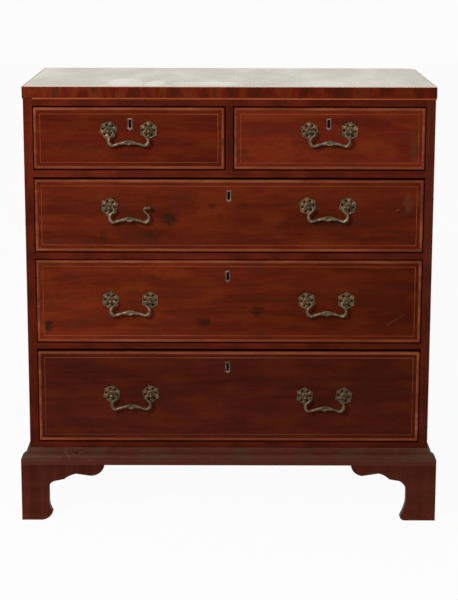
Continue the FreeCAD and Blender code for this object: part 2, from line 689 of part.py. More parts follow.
    def make_bottom(self):
        """The thin bottom, slid in grooves from behind and under the back."""
        reach = "board_thick - panel_groove"
        label = f"{self.name}_bottom"
        nodes[label] = block(label, (f"{self.wide} - 2 * ({reach})",
                                     "drawer_deep - front_thick + front_groove", "panel_thick"),
                             self.spot(f"{reach} - {self.half}", "front_thick - front_groove",
                                       "panel_up"))

    def make_lock(self):
        """The lock case, its inlaid keyhole plate, and the bolt that slides up out of it."""
        name, key, tall = f"{self.name}_lock", self.key, self.tall
        case = new_body(f"{name}_case")
        outline = box_loop(f"{key} - lock_wide / 2", f"{tall} - lock_tall",
                           f"{key} + lock_wide / 2", tall)
        pad(case, draw(case, f"{name}_outline", "XZ_Plane", [outline], "-front_thick"),
            "lock_thick")
        middle = "front_thick - lock_thick / 2"
        side, thick = "bolt_wide / 2 + bolt_play", "bolt_thick / 2 + bolt_play"
        slot = box_loop(f"{key} - ({side})", f"{middle} - ({thick})",
                        f"{key} + {side}", f"{middle} + {thick}")
        pocket(case, draw(case, f"{name}_bolt_slot", "XY_Plane", [slot], tall),
               "bolt_tall + 2 * bolt_play")
        sketch = draw(case, f"{name}_keyhole", "XZ_Plane",
                      [key_slot(key, f"{tall} - key_up")], "lock_thick - front_thick")
        pocket(case, sketch, "lock_thick - 3")
        plate = new_body(f"{name}_plate")
        loops = [plate_loop(key, f"{tall} - key_up"), key_loop(key, f"{tall} - key_up")]
        pad(plate, draw(plate, f"{name}_plate_outline", "XZ_Plane", loops, "-plate_deep"),
            "plate_deep")
        self.store("lock", gather(f"{name}_set", [case, plate]))
        del nodes[f"{name}_set"]

        bolt = new_body(f"{name}_bolt_piece")
        half, low = "bolt_wide / 2", f"{tall} - bolt_tall - bolt_play"
        notch = f"{low} + talon"
        outline = [(f"{key} - {half}", low), (f"{key} - talon", low), (f"{key} - talon", notch),
                   (f"{key} + talon", notch), (f"{key} + talon", low), (f"{key} + {half}", low),
                   (f"{key} + {half}", f"{tall} - bolt_play"),
                   (f"{key} - {half}", f"{tall} - bolt_play")]
        pad(bolt, draw(bolt, f"{name}_bolt_outline", "XZ_Plane", [outline],
                       f"-({middle} + bolt_thick / 2)"), "bolt_thick")
        self.store("lock_bolt", bolt)

    def make_mounts(self, posts, rosette, nut, bare=()):
        """The posts, rosettes and nuts of this drawer's handles: a bare post has no rosette."""
        members = []
        for number, (across, up) in enumerate(self.pulls):
            for hand, word in ((LEFT, "left"), (RIGHT, "right")):
                spot = (f"{across} + {hand} * pull_half", "0", up)
                name = f"{self.name}_{number}_{word}"
                is_bare = (number, hand) in bare
                members.append(copy_of(posts[is_bare], f"{name}_post", spot))
                members.append(copy_of(nut, f"{name}_nut", spot))
                if not is_bare:
                    members.append(copy_of(rosette, f"{name}_rosette", spot))
        self.store("handle_mounts", gather(f"{self.name}_mounts", members))
        del nodes[f"{self.name}_mounts"]


def key_loop(across, up):
    """Return the keyhole, straight sided with a round foot, about (across, up)."""
    half, rise = "key_wide / 2", "key_tall / 2"
    low = f"{up} - {rise} + key_wide * 0.3"
    return [(f"{across} - {half}", low), (f"{across} + {half}", low, "key_wide * 0.567"),
            (f"{across} + {half}", f"{up} + {rise}"), (f"{across} - {half}", f"{up} + {rise}")]


def key_slot(across, up):
    """Return the plain slot as large as the keyhole, for the wood and the lock behind it."""
    return box_loop(f"{across} - key_wide / 2", f"{up} - key_tall / 2",
                    f"{across} + key_wide / 2", f"{up} + key_tall / 2")


def plate_loop(across, up):
    """Return the outline of the inlaid keyhole plate, flared and pointed at its foot."""
    flare_up = f"{up} - plate_drop * 0.7"
    neck_up = f"{up} - plate_drop * 0.5"
    return [(across, f"{up} - plate_drop"), (f"{across} + plate_flare", flare_up),
            (f"{across} + plate_half", neck_up), (f"{across} + plate_half", f"{up} + plate_rise"),
            (f"{across} - plate_half", f"{up} + plate_rise"), (f"{across} - plate_half", neck_up),
            (f"{across} - plate_flare", flare_up)]


# ---------------------------------------------------------------------------------------------
# Handles
# ---------------------------------------------------------------------------------------------
def faceted(rings):
    """Skin closed rings of corners with flat facets, and close both ends."""
    facets = [rings[0][::-1], rings[-1]]
    for ring, following in zip(rings, rings[1:]):
        for n in range(len(ring)):
            a, b, c, d = ring[n - 1], ring[n], following[n], following[n - 1]
            is_flat = abs((b - a).cross(d - a).normalize().dot(c - a)) < 1e-6
            facets += [[a, b, c, d]] if is_flat else [[a, b, c], [a, c, d]]
    faces = [Part.Face(Part.makePolygon(facet + facet[:1])) for facet in facets]
    solid = Part.Solid(Part.Shell(faces))
    return solid if solid.Volume > 0 else solid.reversed()


# Distance in front of the drawer face, and half the width across flats, of each ring of a post
SHANK = (("-front_thick - nut_thick - 4", "shank_half"), ("rosette_thick", "shank_half"))
DOMED_POST = SHANK + (
    ("rosette_thick", "dome_half"), ("rosette_thick + 4.4", "neck_half"),
    ("pivot_out - 2.6", "ball_half"), ("pivot_out + 2.6", "ball_half"),
    ("pull_reach", "ball_half * 0.4"))
EYE_POST = SHANK + (
    ("pivot_out - eye_half - 1", "shank_half * 0.9"), ("pivot_out - 1.9", "eye_half"),
    ("pivot_out + 1.9", "eye_half"), ("pivot_out + eye_half", "eye_half * 0.4"))


def make_post(name, outline):
    """A cast handle post, shank first, with its head bored crosswise for the bail's pin."""
    rings = [[Vector(value(across), -value(out), value(up))
              for across, up in six_sided("0", "0", half_wide)] for out, half_wide in outline]
    cast = doc.addObject("Part::Feature", f"{name}_cast")
    cast.Shape = faceted(rings)
    bore = doc.addObject("Part::Prism", f"{name}_bore")
    bore.Polygon = 6
    bore.setExpression("Circumradius", bound("(rod_round + pin_play) / cos(30)"))
    bore.setExpression("Height", bound("4 * ball_half"))
    across = Rotation(Vector(0, 1, 0), 90)
    place(bore, "-2 * ball_half", "-pivot_out", "0", across)
    post = doc.addObject("Part::Cut", name)
    post.Base, post.Tool = cast, bore
    return post


def make_rosette():
    """A six-sided cast rosette, pierced between its six leaves, that lies on the front."""
    body = new_body("rosette_master")
    points = 6
    step = 360 / points
    loops = [six_sided("0", "0", "rosette_half"), six_sided("0", "0", "shank_half + bore_play")]
    pad(body, draw(body, "rosette_rim", "XZ_Plane", loops), "rosette_thick")
    spread = 14
    openings = []
    for number in range(points):
        middle = 90 + step * (number + 0.5)
        corners = (("pierce_in", 0), ("pierce_out", -spread), ("pierce_out", spread))
        openings.append([(f"{reach} * cos({middle + turn})", f"{reach} * sin({middle + turn})")
                         for reach, turn in corners])
    pocket(body, draw(body, "rosette_openings", "XZ_Plane", openings))
    return body


def make_nut():
    """A square nut on the shank, against the inside of the drawer front."""
    body = new_body("nut_master")
    half = "nut_wide / 2"
    loops = [box_loop(f"-{half}", f"-{half}", half, half),
             six_sided("0", "0", "shank_half + bore_play / 4")]
    pad(body, draw(body, "nut_outline", "XZ_Plane", loops, "-front_thick - nut_thick"),
        "nut_thick")
    return body


def bail_line(half):
    """Return (spot, heading, rod) along the right half of a bail, pin first, all tangent arcs.

    The heading is in degrees from straight down, positive outwards. The rod is its thickness
    there over the plain rod's.
    """
    spot, heading, rod = Vector(half - 7, 0, 0), -90.0, 1.0
    line = [(Vector(half + 6, 0, 0), heading, rod), (spot, heading, rod)]
    grip_rise = 22
    grip_run = half - 13.1
    # radius, heading at the end, steps, thickness at the end
    arcs = ((3.5, 0, 2, 1.0), (10, 60, 2, 1.25), (11, -60, 3, 1.7),
            (8, -90 - grip_rise, 2, 1.4), (grip_run / sin(radians(grip_rise)), -90, 2, 1.25))
    for radius, last_heading, steps, last_rod in arcs:
        ahead = radius if last_heading > heading else -radius
        for step in range(1, steps + 1):
            turned = heading + (last_heading - heading) * step / steps
            across = ahead * (cos(radians(heading)) - cos(radians(turned)))
            up = -ahead * (sin(radians(turned)) - sin(radians(heading)))
            line.append((spot + Vector(across, 0, up), turned,
                         rod + (last_rod - rod) * step / steps))
        spot, heading, rod = line[-1]
    middle = line[-1][0].x
    return [(spot - Vector(middle, 0, 0), heading, rod) for spot, heading, rod in line]


def make_bail_shape():
    """A swan-necked bail: a six-sided rod with straight pins and a swelling in the grip."""
    half, rod = value("pull_half"), value("rod_round")
    boss_half, boss = value("boss_long / 2"), value("boss_round")
    sides = 6
    corners = [radians(360 / sides * n) for n in range(sides)]
    rings = []
    for spot, heading, ratio in bail_line(half):
        swell = max(0, 1 - abs(spot.x) / boss_half)
        tall = rod * ratio * (1 - swell) + boss * swell
        deep = rod * ratio + (boss - rod) * swell * 0.3
        outward = Vector(cos(radians(heading)), 0, sin(radians(heading)))
        rings.append([spot + outward * (tall * cos(a)) + Vector(0, deep * sin(a), 0)
                      for a in corners])
    mirrored = [[Vector(-p.x, p.y, p.z) for p in ring] for ring in reversed(rings[:-1])]
    return faceted(rings + mirrored)


def make_bails(drawers):
    """Hang one bail between each pair of posts."""
    shape = make_bail_shape()
    for drawer in drawers:
        for number, (across, up) in enumerate(drawer.pulls):
            word = drawer.bail_names[number]
            bail = doc.addObject("Part::Feature", word)
            bail.Label = word
            bail.Shape = shape
            nodes[word] = place(bail, *drawer.spot(f"({across})", "-pivot_out", up))


# ---------------------------------------------------------------------------------------------
# Assembly
# ---------------------------------------------------------------------------------------------
make_top()
make_side("side_left", LEFT)
make_side("side_right", RIGHT)
make_rails()
make_divider()
make_inside()
make_stops()
make_base_moulding()
for hand, word in ((LEFT, "left"), (RIGHT, "right")):
    make_front_foot(f"foot_front_{word}", hand)
    make_rear_foot(f"foot_rear_{word}", hand)

posts = [make_post("domed_post", DOMED_POST), make_post("eye_post", EYE_POST)]
rosette, nut = make_rosette(), make_nut()
drawers = []
for hand, word in ((LEFT, "left"), (RIGHT, "right")):
    middle = f"{hand} * short_middle"
    out = f"{hand} * (top_{word}_out - short_middle)"
    drawer = Drawer(f"top_{word}_drawer", "top", "short_wide", middle, f"{-hand} * top_key",
                    [(out, f"top_{word}_up")])
    drawer.bail_names = [f"top_{word}_bail"]
    drawers.append(drawer)
for row in ("upper", "middle", "lower"):
    pulls = [(f"{hand} * {row}_{word}_out", f"{row}_{word}_up")
             for hand, word in ((LEFT, "left"), (RIGHT, "right"))]
    drawer = Drawer(f"{row}_drawer", row, "long_wide", "0", f"{row}_key", pulls)
    drawer.bail_names = [f"{row}_left_bail", f"{row}_right_bail"]
    drawers.append(drawer)
for drawer in drawers:
    drawer.make_front()
    drawer.make_bead()
    drawer.make_box()
    drawer.make_bottom()
    drawer.make_lock()
    # the right rosette of the upper drawer's left handle is lost, and its post is a plain eye
    lost = [(0, RIGHT)] if drawer.name == "upper_drawer" else []
    drawer.make_mounts(posts, rosette, nut, lost)
make_bails(drawers)
doc.recompute()

# ---------------------------------------------------------------------------------------------
# Checks, then one STEP file for each node
# ---------------------------------------------------------------------------------------------
for thing in doc.Objects:
    bad = [state for state in thing.State if state in ("Invalid", "Error")]
    if bad:
        raise RuntimeError(f"{thing.Label}: {bad}")
    if thing.TypeId == "PartDesign::Pocket":
        before, after = thing.BaseFeature.Shape.Volume, thing.Shape.Volume
        if after > before - 0.1:
            raise RuntimeError(f"{thing.Label} cuts nothing")

os.makedirs("parts", exist_ok=True)
for label, thing in nodes.items():
    shape = thing.Shape
    if shape.isNull() or not shape.isValid() or not shape.Solids:
        raise RuntimeError(f"{label} has no valid solid")
    if thing.Label != label:
        raise RuntimeError(f"{label} is labelled {thing.Label}")
    shape.exportStep(f"parts/{label}.step")
print(len(nodes), "nodes written")
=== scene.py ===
# %% [markdown]
# # A bachelor's chest of drawers
#
# This lesson dresses a packed model of a mahogany chest: two short drawers over three long ones, a
# banded top, a moulded base, bracket feet and brass swan-neck handles.  The solids come from the
# construction drawing and stay where they are.  Blender gives them their woods and metals, and
# makes the pieces whose shape needs a craftsman's hand: the inlaid string and the handles.

# %% Load the chest
import json
from math import atan2, cos, pi, radians, sin

import bmesh
import bpy
from mathutils import Matrix, Vector


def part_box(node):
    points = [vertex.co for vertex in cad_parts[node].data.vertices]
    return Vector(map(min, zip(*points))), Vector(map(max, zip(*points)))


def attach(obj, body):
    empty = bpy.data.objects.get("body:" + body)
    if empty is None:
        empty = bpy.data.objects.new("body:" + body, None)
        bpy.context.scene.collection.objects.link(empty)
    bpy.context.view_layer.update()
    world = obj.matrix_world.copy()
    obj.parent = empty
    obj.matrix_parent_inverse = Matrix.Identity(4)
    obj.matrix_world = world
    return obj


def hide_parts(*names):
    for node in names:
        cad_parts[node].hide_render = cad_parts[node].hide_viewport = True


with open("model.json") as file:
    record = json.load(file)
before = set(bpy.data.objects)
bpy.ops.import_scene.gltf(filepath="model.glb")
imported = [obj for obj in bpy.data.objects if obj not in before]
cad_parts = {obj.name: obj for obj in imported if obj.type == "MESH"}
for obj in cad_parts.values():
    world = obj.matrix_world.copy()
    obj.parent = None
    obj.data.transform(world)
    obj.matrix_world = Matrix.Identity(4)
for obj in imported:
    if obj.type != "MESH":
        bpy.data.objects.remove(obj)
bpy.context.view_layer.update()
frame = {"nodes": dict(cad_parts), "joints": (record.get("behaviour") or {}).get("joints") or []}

nodes = frame["nodes"]
joints = {joint["name"]: joint for joint in frame["joints"]}
scene = bpy.context.scene
scene.view_settings.view_transform = "Standard"

# %% [markdown]
# Furniture is usually shown from far off through a long lens, so that its uprights stay upright.
# The camera stands four metres in front, a little higher than the top, looks twelve degrees down
# and leans by an eighth of a degree, as one on a tripod does.  A constraint could point it, but a
# matrix gives its place and its turn at once.  Its lens is given against the picture's long side,
# so no picture size is needed.

# %% Camera
CAMERA_PLACE = (0, -4.1477, 1.3496)
CAMERA_TILT = 77.922  # degrees up from looking straight down
CAMERA_LEAN = 0.12
camera_data = bpy.data.cameras.new("camera")
camera_data.lens = 106.28
camera_data.sensor_width = 36
camera = bpy.data.objects.new("camera", camera_data)
camera.matrix_world = (Matrix.Translation(CAMERA_PLACE)
                       @ Matrix.Rotation(radians(CAMERA_TILT), 4, "X")
                       @ Matrix.Rotation(radians(CAMERA_LEAN), 4, "Z"))
scene.collection.objects.link(camera)
scene.camera = camera
print("camera", tuple(round(part, 4) for part in camera.matrix_world.translation))

# %% [markdown]
# Every finish below is a tree of shader nodes.  A tree could be wired one link at a time, but such
# code is long and hides what it works out.  Here sums are written as Python sums: `Value` wraps one
# output of a node, and adding, taking away, multiplying or dividing values adds the Math node that
# does it.  The reflected forms make `1 - mask` work.


# %% Values that can be summed
class Value:
    """One output of a shader node, which takes part in sums."""

    def __init__(self, finish, socket):
        self.finish = finish
        self.socket = socket

    def maths(self, operation, *terms):
        return self.finish.node("ShaderNodeMath", {"operation": operation}, dict(enumerate(terms)))

    def __add__(self, other):
        return self.maths("ADD", self, other)

    def __sub__(self, other):
        return self.maths("SUBTRACT", self, other)

    def __rsub__(self, other):
        return self.maths("SUBTRACT", other, self)

    def __mul__(self, other):
        return self.maths("MULTIPLY", self, other)

    def __truediv__(self, other):
        return self.maths("DIVIDE", self, other)

    def __rtruediv__(self, other):
        return self.maths("DIVIDE", other, self)

    def __pow__(self, other):
        return self.maths("POWER", self, other)

    def __abs__(self):
        return self.maths("ABSOLUTE", self)

    __radd__, __rmul__ = __add__, __mul__

    def output(self, name):
        """Return another output of the same node."""
        return Value(self.finish, self.socket.node.outputs[name])


print("a Value takes + - * / ** and abs")

# %% [markdown]
# `Finish` is a material, or the room's world, and the few moves that every finish here is made
# from.  All nodes come from one method, `node`, which takes the node's type, its settings and its
# inputs.  The rest are the maker's words for common nodes: where a point is on the piece, noise of
# a size in metres, a value spread between two limits, and two colours blended.


# %% A finish and its moves
class Finish:
    """A tree of shader nodes, built from the inside out."""

    def __init__(self, owner):
        owner.use_nodes = True
        self.owner = owner
        self.tree = owner.node_tree
        self.tree.nodes.clear()

    def node(self, kind, settings=None, inputs=None, output=0):
        """Add a node: its settings first, then the values or links of its sockets."""
        made = self.tree.nodes.new(kind)
        for name, setting in (settings or {}).items():
            if name == "stops":
                while len(made.color_ramp.elements) < len(setting):
                    made.color_ramp.elements.new(1)
                for stop, (place, colour) in zip(made.color_ramp.elements, setting):
                    stop.position = place
                    stop.color = colour
            else:
                setattr(made, name, setting)
        for key, given in (inputs or {}).items():
            if isinstance(given, Value):
                self.tree.links.new(given.socket, made.inputs[key])
            else:
                made.inputs[key].default_value = given
        return Value(self, made.outputs[output]) if len(made.outputs) else None

    def place(self):
        """Return where a point is on the piece, as x, y and z in metres."""
        where = self.node("ShaderNodeTexCoord", output="Object")
        apart = self.node("ShaderNodeSeparateXYZ", {}, {0: where})
        return apart, apart.output("Y"), apart.output("Z")

    def point(self, x, y, z):
        return self.node("ShaderNodeCombineXYZ", {}, {0: x, 1: y, 2: z})

    def noise(self, point, detail=2.0, roughness=0.5):
        """Return soft noise whose blobs are one unit of the given point across."""
        return self.node("ShaderNodeTexNoise", {}, {
            "Vector": point, "Scale": 1.0, "Detail": detail, "Roughness": roughness})

    def spread(self, value, low, high, to_low=0.0, to_high=1.0):
        """Return a value spread from low..high to to_low..to_high, and held there."""
        return self.node("ShaderNodeMapRange", {}, {
            0: value, 1: low, 2: high, 3: to_low, 4: to_high})

    def ramp(self, value, stops):
        """Return the colour that a value picks from a row of stops."""
        return self.node("ShaderNodeValToRGB", {"stops": stops}, {0: value})

    def blend(self, share, first, second):
        """Return two colours blended by a share."""
        return self.node("ShaderNodeMix", {"data_type": "RGBA"},
                         {0: share, 6: first, 7: second}, output=2)

    def lit(self, colour, factor):
        """Return a colour made lighter or darker by a factor."""
        return self.node("ShaderNodeVectorMath", {"operation": "SCALE"}, {0: colour, 3: factor})

    def bump(self, height, distance):
        return self.node("ShaderNodeBump", {}, {"Height": height, "Distance": distance})

    def shader(self, **sockets):
        """Return a Principled shader."""
        named = {name.replace("_", " "): given for name, given in sockets.items()}
        return self.node("ShaderNodeBsdfPrincipled", {}, named)

    def close(self, shader, output="ShaderNodeOutputMaterial"):
        """Join the last shader to the tree's output, and return what the tree belongs to."""
        self.node(output, {}, {"Surface": shader})
        return self.owner

    def surface(self, **sockets):
        """Close the tree with one Principled shader."""
        return self.close(self.shader(**sockets))


def tone(red, green, blue):
    """Return a colour with its alpha."""
    return (red, green, blue, 1.0)


def scaled(colour, factor):
    """Return a colour made lighter or darker, worked out before the node is made."""
    return tone(*[part * factor for part in colour[:3]])


print("finish moves:", [name for name in vars(Finish) if not name.startswith("_")])

# %% [markdown]
# Light comes first, because every colour is judged under it.  In a studio the chest would stand in
# a white room beside one large soft lamp, and this is that room.  A white room alone would wash the
# wood out.  So only rays that go straight to the eye, or come off polish or through glass, meet
# full white, and the others meet a softer fill.  The lamp stands in front on the left, at about the
# height of a door, and gives the handles their shadows.

# %% Room and lamp
FRONT = -0.244  # how far forward the drawer fronts stand
ROOM_WHITE = 0.975
FILL = 0.30
LAMP_WATTS = 110
LAMP_PLACE = (-1.6, -3.3, 2.3)
LAMP_AIM = (0, FRONT, 0.6)


def straight_rays(finish):
    """Return 1 for rays that go to the eye, or that come off polish or through glass."""
    rays = finish.node("ShaderNodeLightPath", output="Is Camera Ray")
    return rays + rays.output("Is Glossy Ray") + rays.output("Is Transmission Ray")


scene.world = bpy.data.worlds.new("room")
room = Finish(scene.world)
seen = straight_rays(room)
sky = room.node("ShaderNodeBackground", {}, {
    "Color": tone(ROOM_WHITE, ROOM_WHITE, ROOM_WHITE), "Strength": seen + (1 - seen) * FILL})
room.close(sky, "ShaderNodeOutputWorld")

lamp_data = bpy.data.lights.new("window", "AREA")
lamp_data.shape = "SQUARE"
lamp_data.size = 1.0
lamp_data.energy = LAMP_WATTS
lamp = bpy.data.objects.new("window", lamp_data)
lamp.location = LAMP_PLACE
lamp_way = Vector(LAMP_AIM) - lamp.location
lamp.rotation_euler = lamp_way.to_track_quat("-Z", "Y").to_euler()
scene.collection.objects.link(lamp)
print("lamp", lamp_data.energy, "W at", round(lamp_way.length, 2), "m")

# %% [markdown]
# The floor is one pale sheet, a hair under the feet.  White paint alone would need so much light
# that the chest would bleach.  So the sheet glows white by itself where the eye meets it, with just
# enough matt paint in the mix to take the chest's shadow.  It isn't part of the chest.

# %% Pieces from a bmesh, and the floor
FLOOR_GLOW = 0.955
FLOOR_PAINT = tone(0.82, 0.82, 0.82)
FLOOR_HALF = 9
FLOOR_PLACE = (0, 4, -0.0006)


def piece_from(mesh, name, material, smooth=False):
    """Close a bmesh into an object that stands at the origin."""
    data = bpy.data.meshes.new(name)
    mesh.to_mesh(data)
    mesh.free()
    data.materials.append(material)
    for face in data.polygons:
        face.use_smooth = smooth
    piece = bpy.data.objects.new(name, data)
    scene.collection.objects.link(piece)
    return piece


paper = Finish(bpy.data.materials.new("floor_paper"))
matt = paper.node("ShaderNodeBsdfDiffuse", {}, {"Color": FLOOR_PAINT})
glow = paper.node("ShaderNodeEmission", {}, {"Color": tone(1, 1, 1), "Strength": 1.0})
mixed = paper.node("ShaderNodeMixShader", {}, {
    0: straight_rays(paper) * FLOOR_GLOW, 1: matt, 2: glow})
sheet = bmesh.new()
bmesh.ops.create_grid(sheet, x_segments=1, y_segments=1, size=FLOOR_HALF)
bmesh.ops.translate(sheet, verts=sheet.verts, vec=FLOOR_PLACE)
floor = piece_from(sheet, "floor", paper.close(mixed))
print("floor", tuple(floor.dimensions))

# %% [markdown]
# Mahogany is a red-brown wood with long soft stripes, short dark pores, and colour that wanders
# from orange to a greenish brown.  A scan could show it, but a few layers of noise are lighter and
# never repeat: each is stretched along the grain.  The grain runs along a board, so the layers ask
# which way the board lies.  `wrap` follows a board round the case, along x and y together, and
# `upright` is the same board with its grain turned up.

# %% Wood grain
OLD_POLISH = tone(1.0, 0.22, 0.10)  # what the shine is tinted with
PORE_DEEP = 0.00015


def grain_axes(finish, along):
    """Return the way along the grain and the two ways across it."""
    x, y, z = finish.place()
    if along == "wrap":
        return x + y, z, 0.0
    if along == "upright":
        return z, x + y, 0.0
    return {"x": (x, z, y), "y": (y, x, z), "z": (z, x, y)}[along]


def layer(finish, axes, length, width, seed, **more):
    """Return noise stretched to a length along the grain and a width across it."""
    run, rise, deep = axes
    return finish.noise(finish.point(run / length + seed, rise / width, deep / width), **more)


def wood(name, along, tones, stripes=0.011, seed=0.0):
    """Start a wooden finish, and return it with its colour, its pores and its stripes."""
    dark, middle, light = tones
    finish = Finish(bpy.data.materials.new(name))
    axes = grain_axes(finish, along)
    run, rise, deep = axes
    drift = layer(finish, axes, length=0.34, width=0.09, seed=seed) - 0.5
    bent = (run, rise + drift * 0.05, deep)
    figure = layer(finish, bent, length=0.55, width=stripes * 2.6, seed=seed + 3, detail=3.0,
                   roughness=0.55)
    flame = layer(finish, bent, length=0.075, width=stripes * 1.1, seed=seed + 5)
    stripe = layer(finish, bent, length=0.16, width=stripes * 0.32, seed=seed + 7, detail=3.0,
                   roughness=0.6)
    shade = finish.spread(figure * 0.52 + flame * 0.26 + stripe * 0.22, 0.36, 0.64)
    colour = finish.ramp(shade, [(0.0, dark), (0.5, middle), (1.0, light)])
    fleck = layer(finish, axes, length=0.006, width=0.00055, seed=seed + 11, detail=1.0)
    pore = finish.spread(fleck, 0.60, 0.68)
    colour = finish.blend(pore * 0.5, colour, scaled(dark, 0.35))
    return finish, colour, pore, shade


def tones_of(colour, low, high):
    """Return a wood's dark, middle and light tones."""
    return scaled(colour, low), colour, scaled(colour, high)


def close_wood(finish, shown, pore, shade, rough, shine=0.13):
    """Close a wooden finish: a faint reddish shine, raised stripes and sunk pores."""
    return finish.surface(
        Base_Color=shown, Roughness=rough, Specular_IOR_Level=shine, Specular_Tint=OLD_POLISH,
        Normal=finish.bump(shade * 0.4 - pore, PORE_DEEP))


print("pores", PORE_DEEP * 1000, "mm deep")

# %% [markdown]
# Two centuries leave marks in places that no noise would choose: dark knots, patches where the
# polish has gone hazy, and scratches.  Patches of painted sheen, where the polish seems to glow,
# are laid in the same way.  They could be painted on a picture that wraps the front, but each is
# small and simple, so each is written down as a place, a size and a depth.  A ragged edge keeps an
# oval from looking like one.

# %% Marks of age
# across, up, half width, half height and depth of shade, in metres
KNOTS = {
    "upper_drawer": [(-0.134, 0.699, 0.024, 0.019, 0.95), (-0.172, 0.661, 0.024, 0.012, 0.7),
                     (-0.038, 0.7285, 0.011, 0.008, 0.8), (-0.280, 0.658, 0.010, 0.020, 0.45),
                     (0.030, 0.7300, 0.010, 0.005, 0.5)],
    "middle_drawer": [(-0.407, 0.454, 0.012, 0.018, 0.95), (-0.0565, 0.4634, 0.018, 0.014, 0.75),
                      (0.063, 0.489, 0.022, 0.013, 0.75)],
    "lower_drawer": [(-0.316, 0.200, 0.020, 0.008, 0.8)],
}
HAZES = {"upper_drawer": [(0.399, 0.735, 0.013, 0.026, 0.55)],
         "top_right_drawer": [(0.408, 0.868, 0.010, 0.050, 0.35)]}
# patches of painted sheen, where the polish seems to glow; the last number is how strong it is
SHEEN_PATCHES = {"top_left_drawer": [(-0.33, 0.845, 0.10, 0.020, 0.5)],
         "top_right_drawer": [(0.10, 0.850, 0.09, 0.030, 0.5)],
         "upper_drawer": [(-0.030, 0.740, 0.060, 0.035, 0.6), (-0.060, 0.690, 0.080, 0.030, 0.4)],
         "middle_drawer": [(-0.125, 0.575, 0.060, 0.016, 0.6), (-0.33, 0.520, 0.10, 0.030, 0.3)],
         "lower_drawer": [(0.140, 0.345, 0.120, 0.018, 0.35)]}
# left and low of one end, right and high of the other, half width and depth
SCRATCHES = {"middle_drawer": [(0.352, 0.4545, 0.397, 0.4815, 0.0012, 0.8)],
             "upper_drawer": [(0.368, 0.7165, 0.381, 0.7225, 0.0026, 0.55)],
             "top_right_drawer": [(0.250, 0.8775, 0.264, 0.877, 0.001, 0.6)]}
RAGGED = 2.4
SCRATCH_TAPER = 0.003


def oval(finish, x, z, ragged, mark):
    """Return how much of a ragged oval mark is at a point."""
    across, up, half_wide, half_tall, depth = mark
    away = ((x - across) / half_wide) ** 2.0 + ((z - up) / half_tall) ** 2.0
    return finish.spread(away + (ragged - 0.5) * RAGGED, 1.0, 0.1) * depth


def scratch(finish, x, z, mark):
    """Return how much of a straight scratch is at a point."""
    left, low, right, high, half_wide, depth = mark
    lean = (high - low) / (right - left)
    off = abs(z - low - (x - left) * lean)
    inside = (finish.spread(x, left, left + SCRATCH_TAPER)
              * finish.spread(x, right, right - SCRATCH_TAPER))
    return finish.spread(off, half_wide, half_wide * 0.3) * inside * depth


for kind, marks in {"knots": KNOTS, "hazes": HAZES, "glows": SHEEN_PATCHES, "scratches": SCRATCHES}.items():
    print(kind, sum(len(places) for places in marks.values()))

# %% [markdown]
# Dirt and painted shade darken a ring round each rosette, and a painted shadow lies along the line
# under the grip of a hanging bail.  Both could be painted on a picture too, but the joints already
# say where the bails hang, so both are measured from them and can't miss.  The inside of a keyhole
# is darkened as well, because little light comes back out of one.

# %% Dirt, painted shade and keyholes
GRIP_HALF = 0.04445  # half the way between a handle's two posts
PULLS = {
    "top_left_drawer": ["top_left"], "top_right_drawer": ["top_right"],
    "upper_drawer": ["upper_left", "upper_right"],
    "middle_drawer": ["middle_left", "middle_right"],
    "lower_drawer": ["lower_left", "lower_right"],
}
pivots = {pull: Vector(joints[f"swing_bail_{pull}"]["pos_m"])
          for pulls in PULLS.values() for pull in pulls}
BARE = ("upper_left", 1)  # the post that has lost its rosette
# each pair below is a distance where there is none, and one where it is full
POST_RING, POST_DIRT_AND_SHADE, RING_RAGGED = (0.0250, 0.0185), 0.85, 0.006
GRIP_SHADOW_LINE, GRIP_ENDS, GRIP_SHADOW = (0.0052, 0.0020), (0.042, 0.034), 0.92
# the painted shadow's line under the hanging grip: how far down its ends are, its rise, and half
# its length
REST_DROP, REST_RISE, REST_HALF = 0.0368, 0.0062, 0.031
# across and up of each keyhole's middle, and its sides and depth as pairs
KEYHOLES = {"top_left_drawer": (-0.2195, 0.9118), "top_right_drawer": (0.2195, 0.9118),
            "upper_drawer": (-0.001, 0.7516), "middle_drawer": (-0.003, 0.5694),
            "lower_drawer": (-0.003, 0.3589)}
KEYHOLE_WIDE, KEYHOLE_TALL = (0.0040, 0.0036), (0.0100, 0.0096)
KEYHOLE_DEEP = (FRONT + 0.0010, FRONT + 0.0016)


def dirt_and_shade(finish, name, x, z, ragged):
    """Return how much dirt and painted shade lie round the posts, and painted shadow under the
    grip.
    """
    dirt_and_shadow = 0.0
    for pull in PULLS[name]:
        pivot = pivots[pull]
        beside = abs(x - pivot.x)
        for hand in (-1, 1):
            if (pull, hand) != BARE:
                off = ((x - pivot.x - hand * GRIP_HALF) ** 2.0 + (z - pivot.z) ** 2.0) ** 0.5
                dirt_and_shadow = dirt_and_shadow + finish.spread(off + ragged * RING_RAGGED, *POST_RING) * POST_DIRT_AND_SHADE
        shadow_line = pivot.z - REST_DROP + (1 - (beside / REST_HALF) ** 2.0) * REST_RISE
        dirt_and_shadow = dirt_and_shadow + (finish.spread(abs(z - shadow_line), *GRIP_SHADOW_LINE)
                       * finish.spread(beside, *GRIP_ENDS) * GRIP_SHADOW)
    return finish.spread(dirt_and_shadow, 0.0, 1.0)


def in_keyhole(finish, name, x, y, z):
    """Return 1 inside the hole cut for the key."""
    across, up = KEYHOLES[name]
    return (finish.spread(abs(x - across), *KEYHOLE_WIDE)
            * finish.spread(abs(z - up), *KEYHOLE_TALL)
            * finish.spread(y, *KEYHOLE_DEEP))


print("bails hang at", {pull: tuple(round(part, 4) for part in pivots[pull]) for pull in pivots})
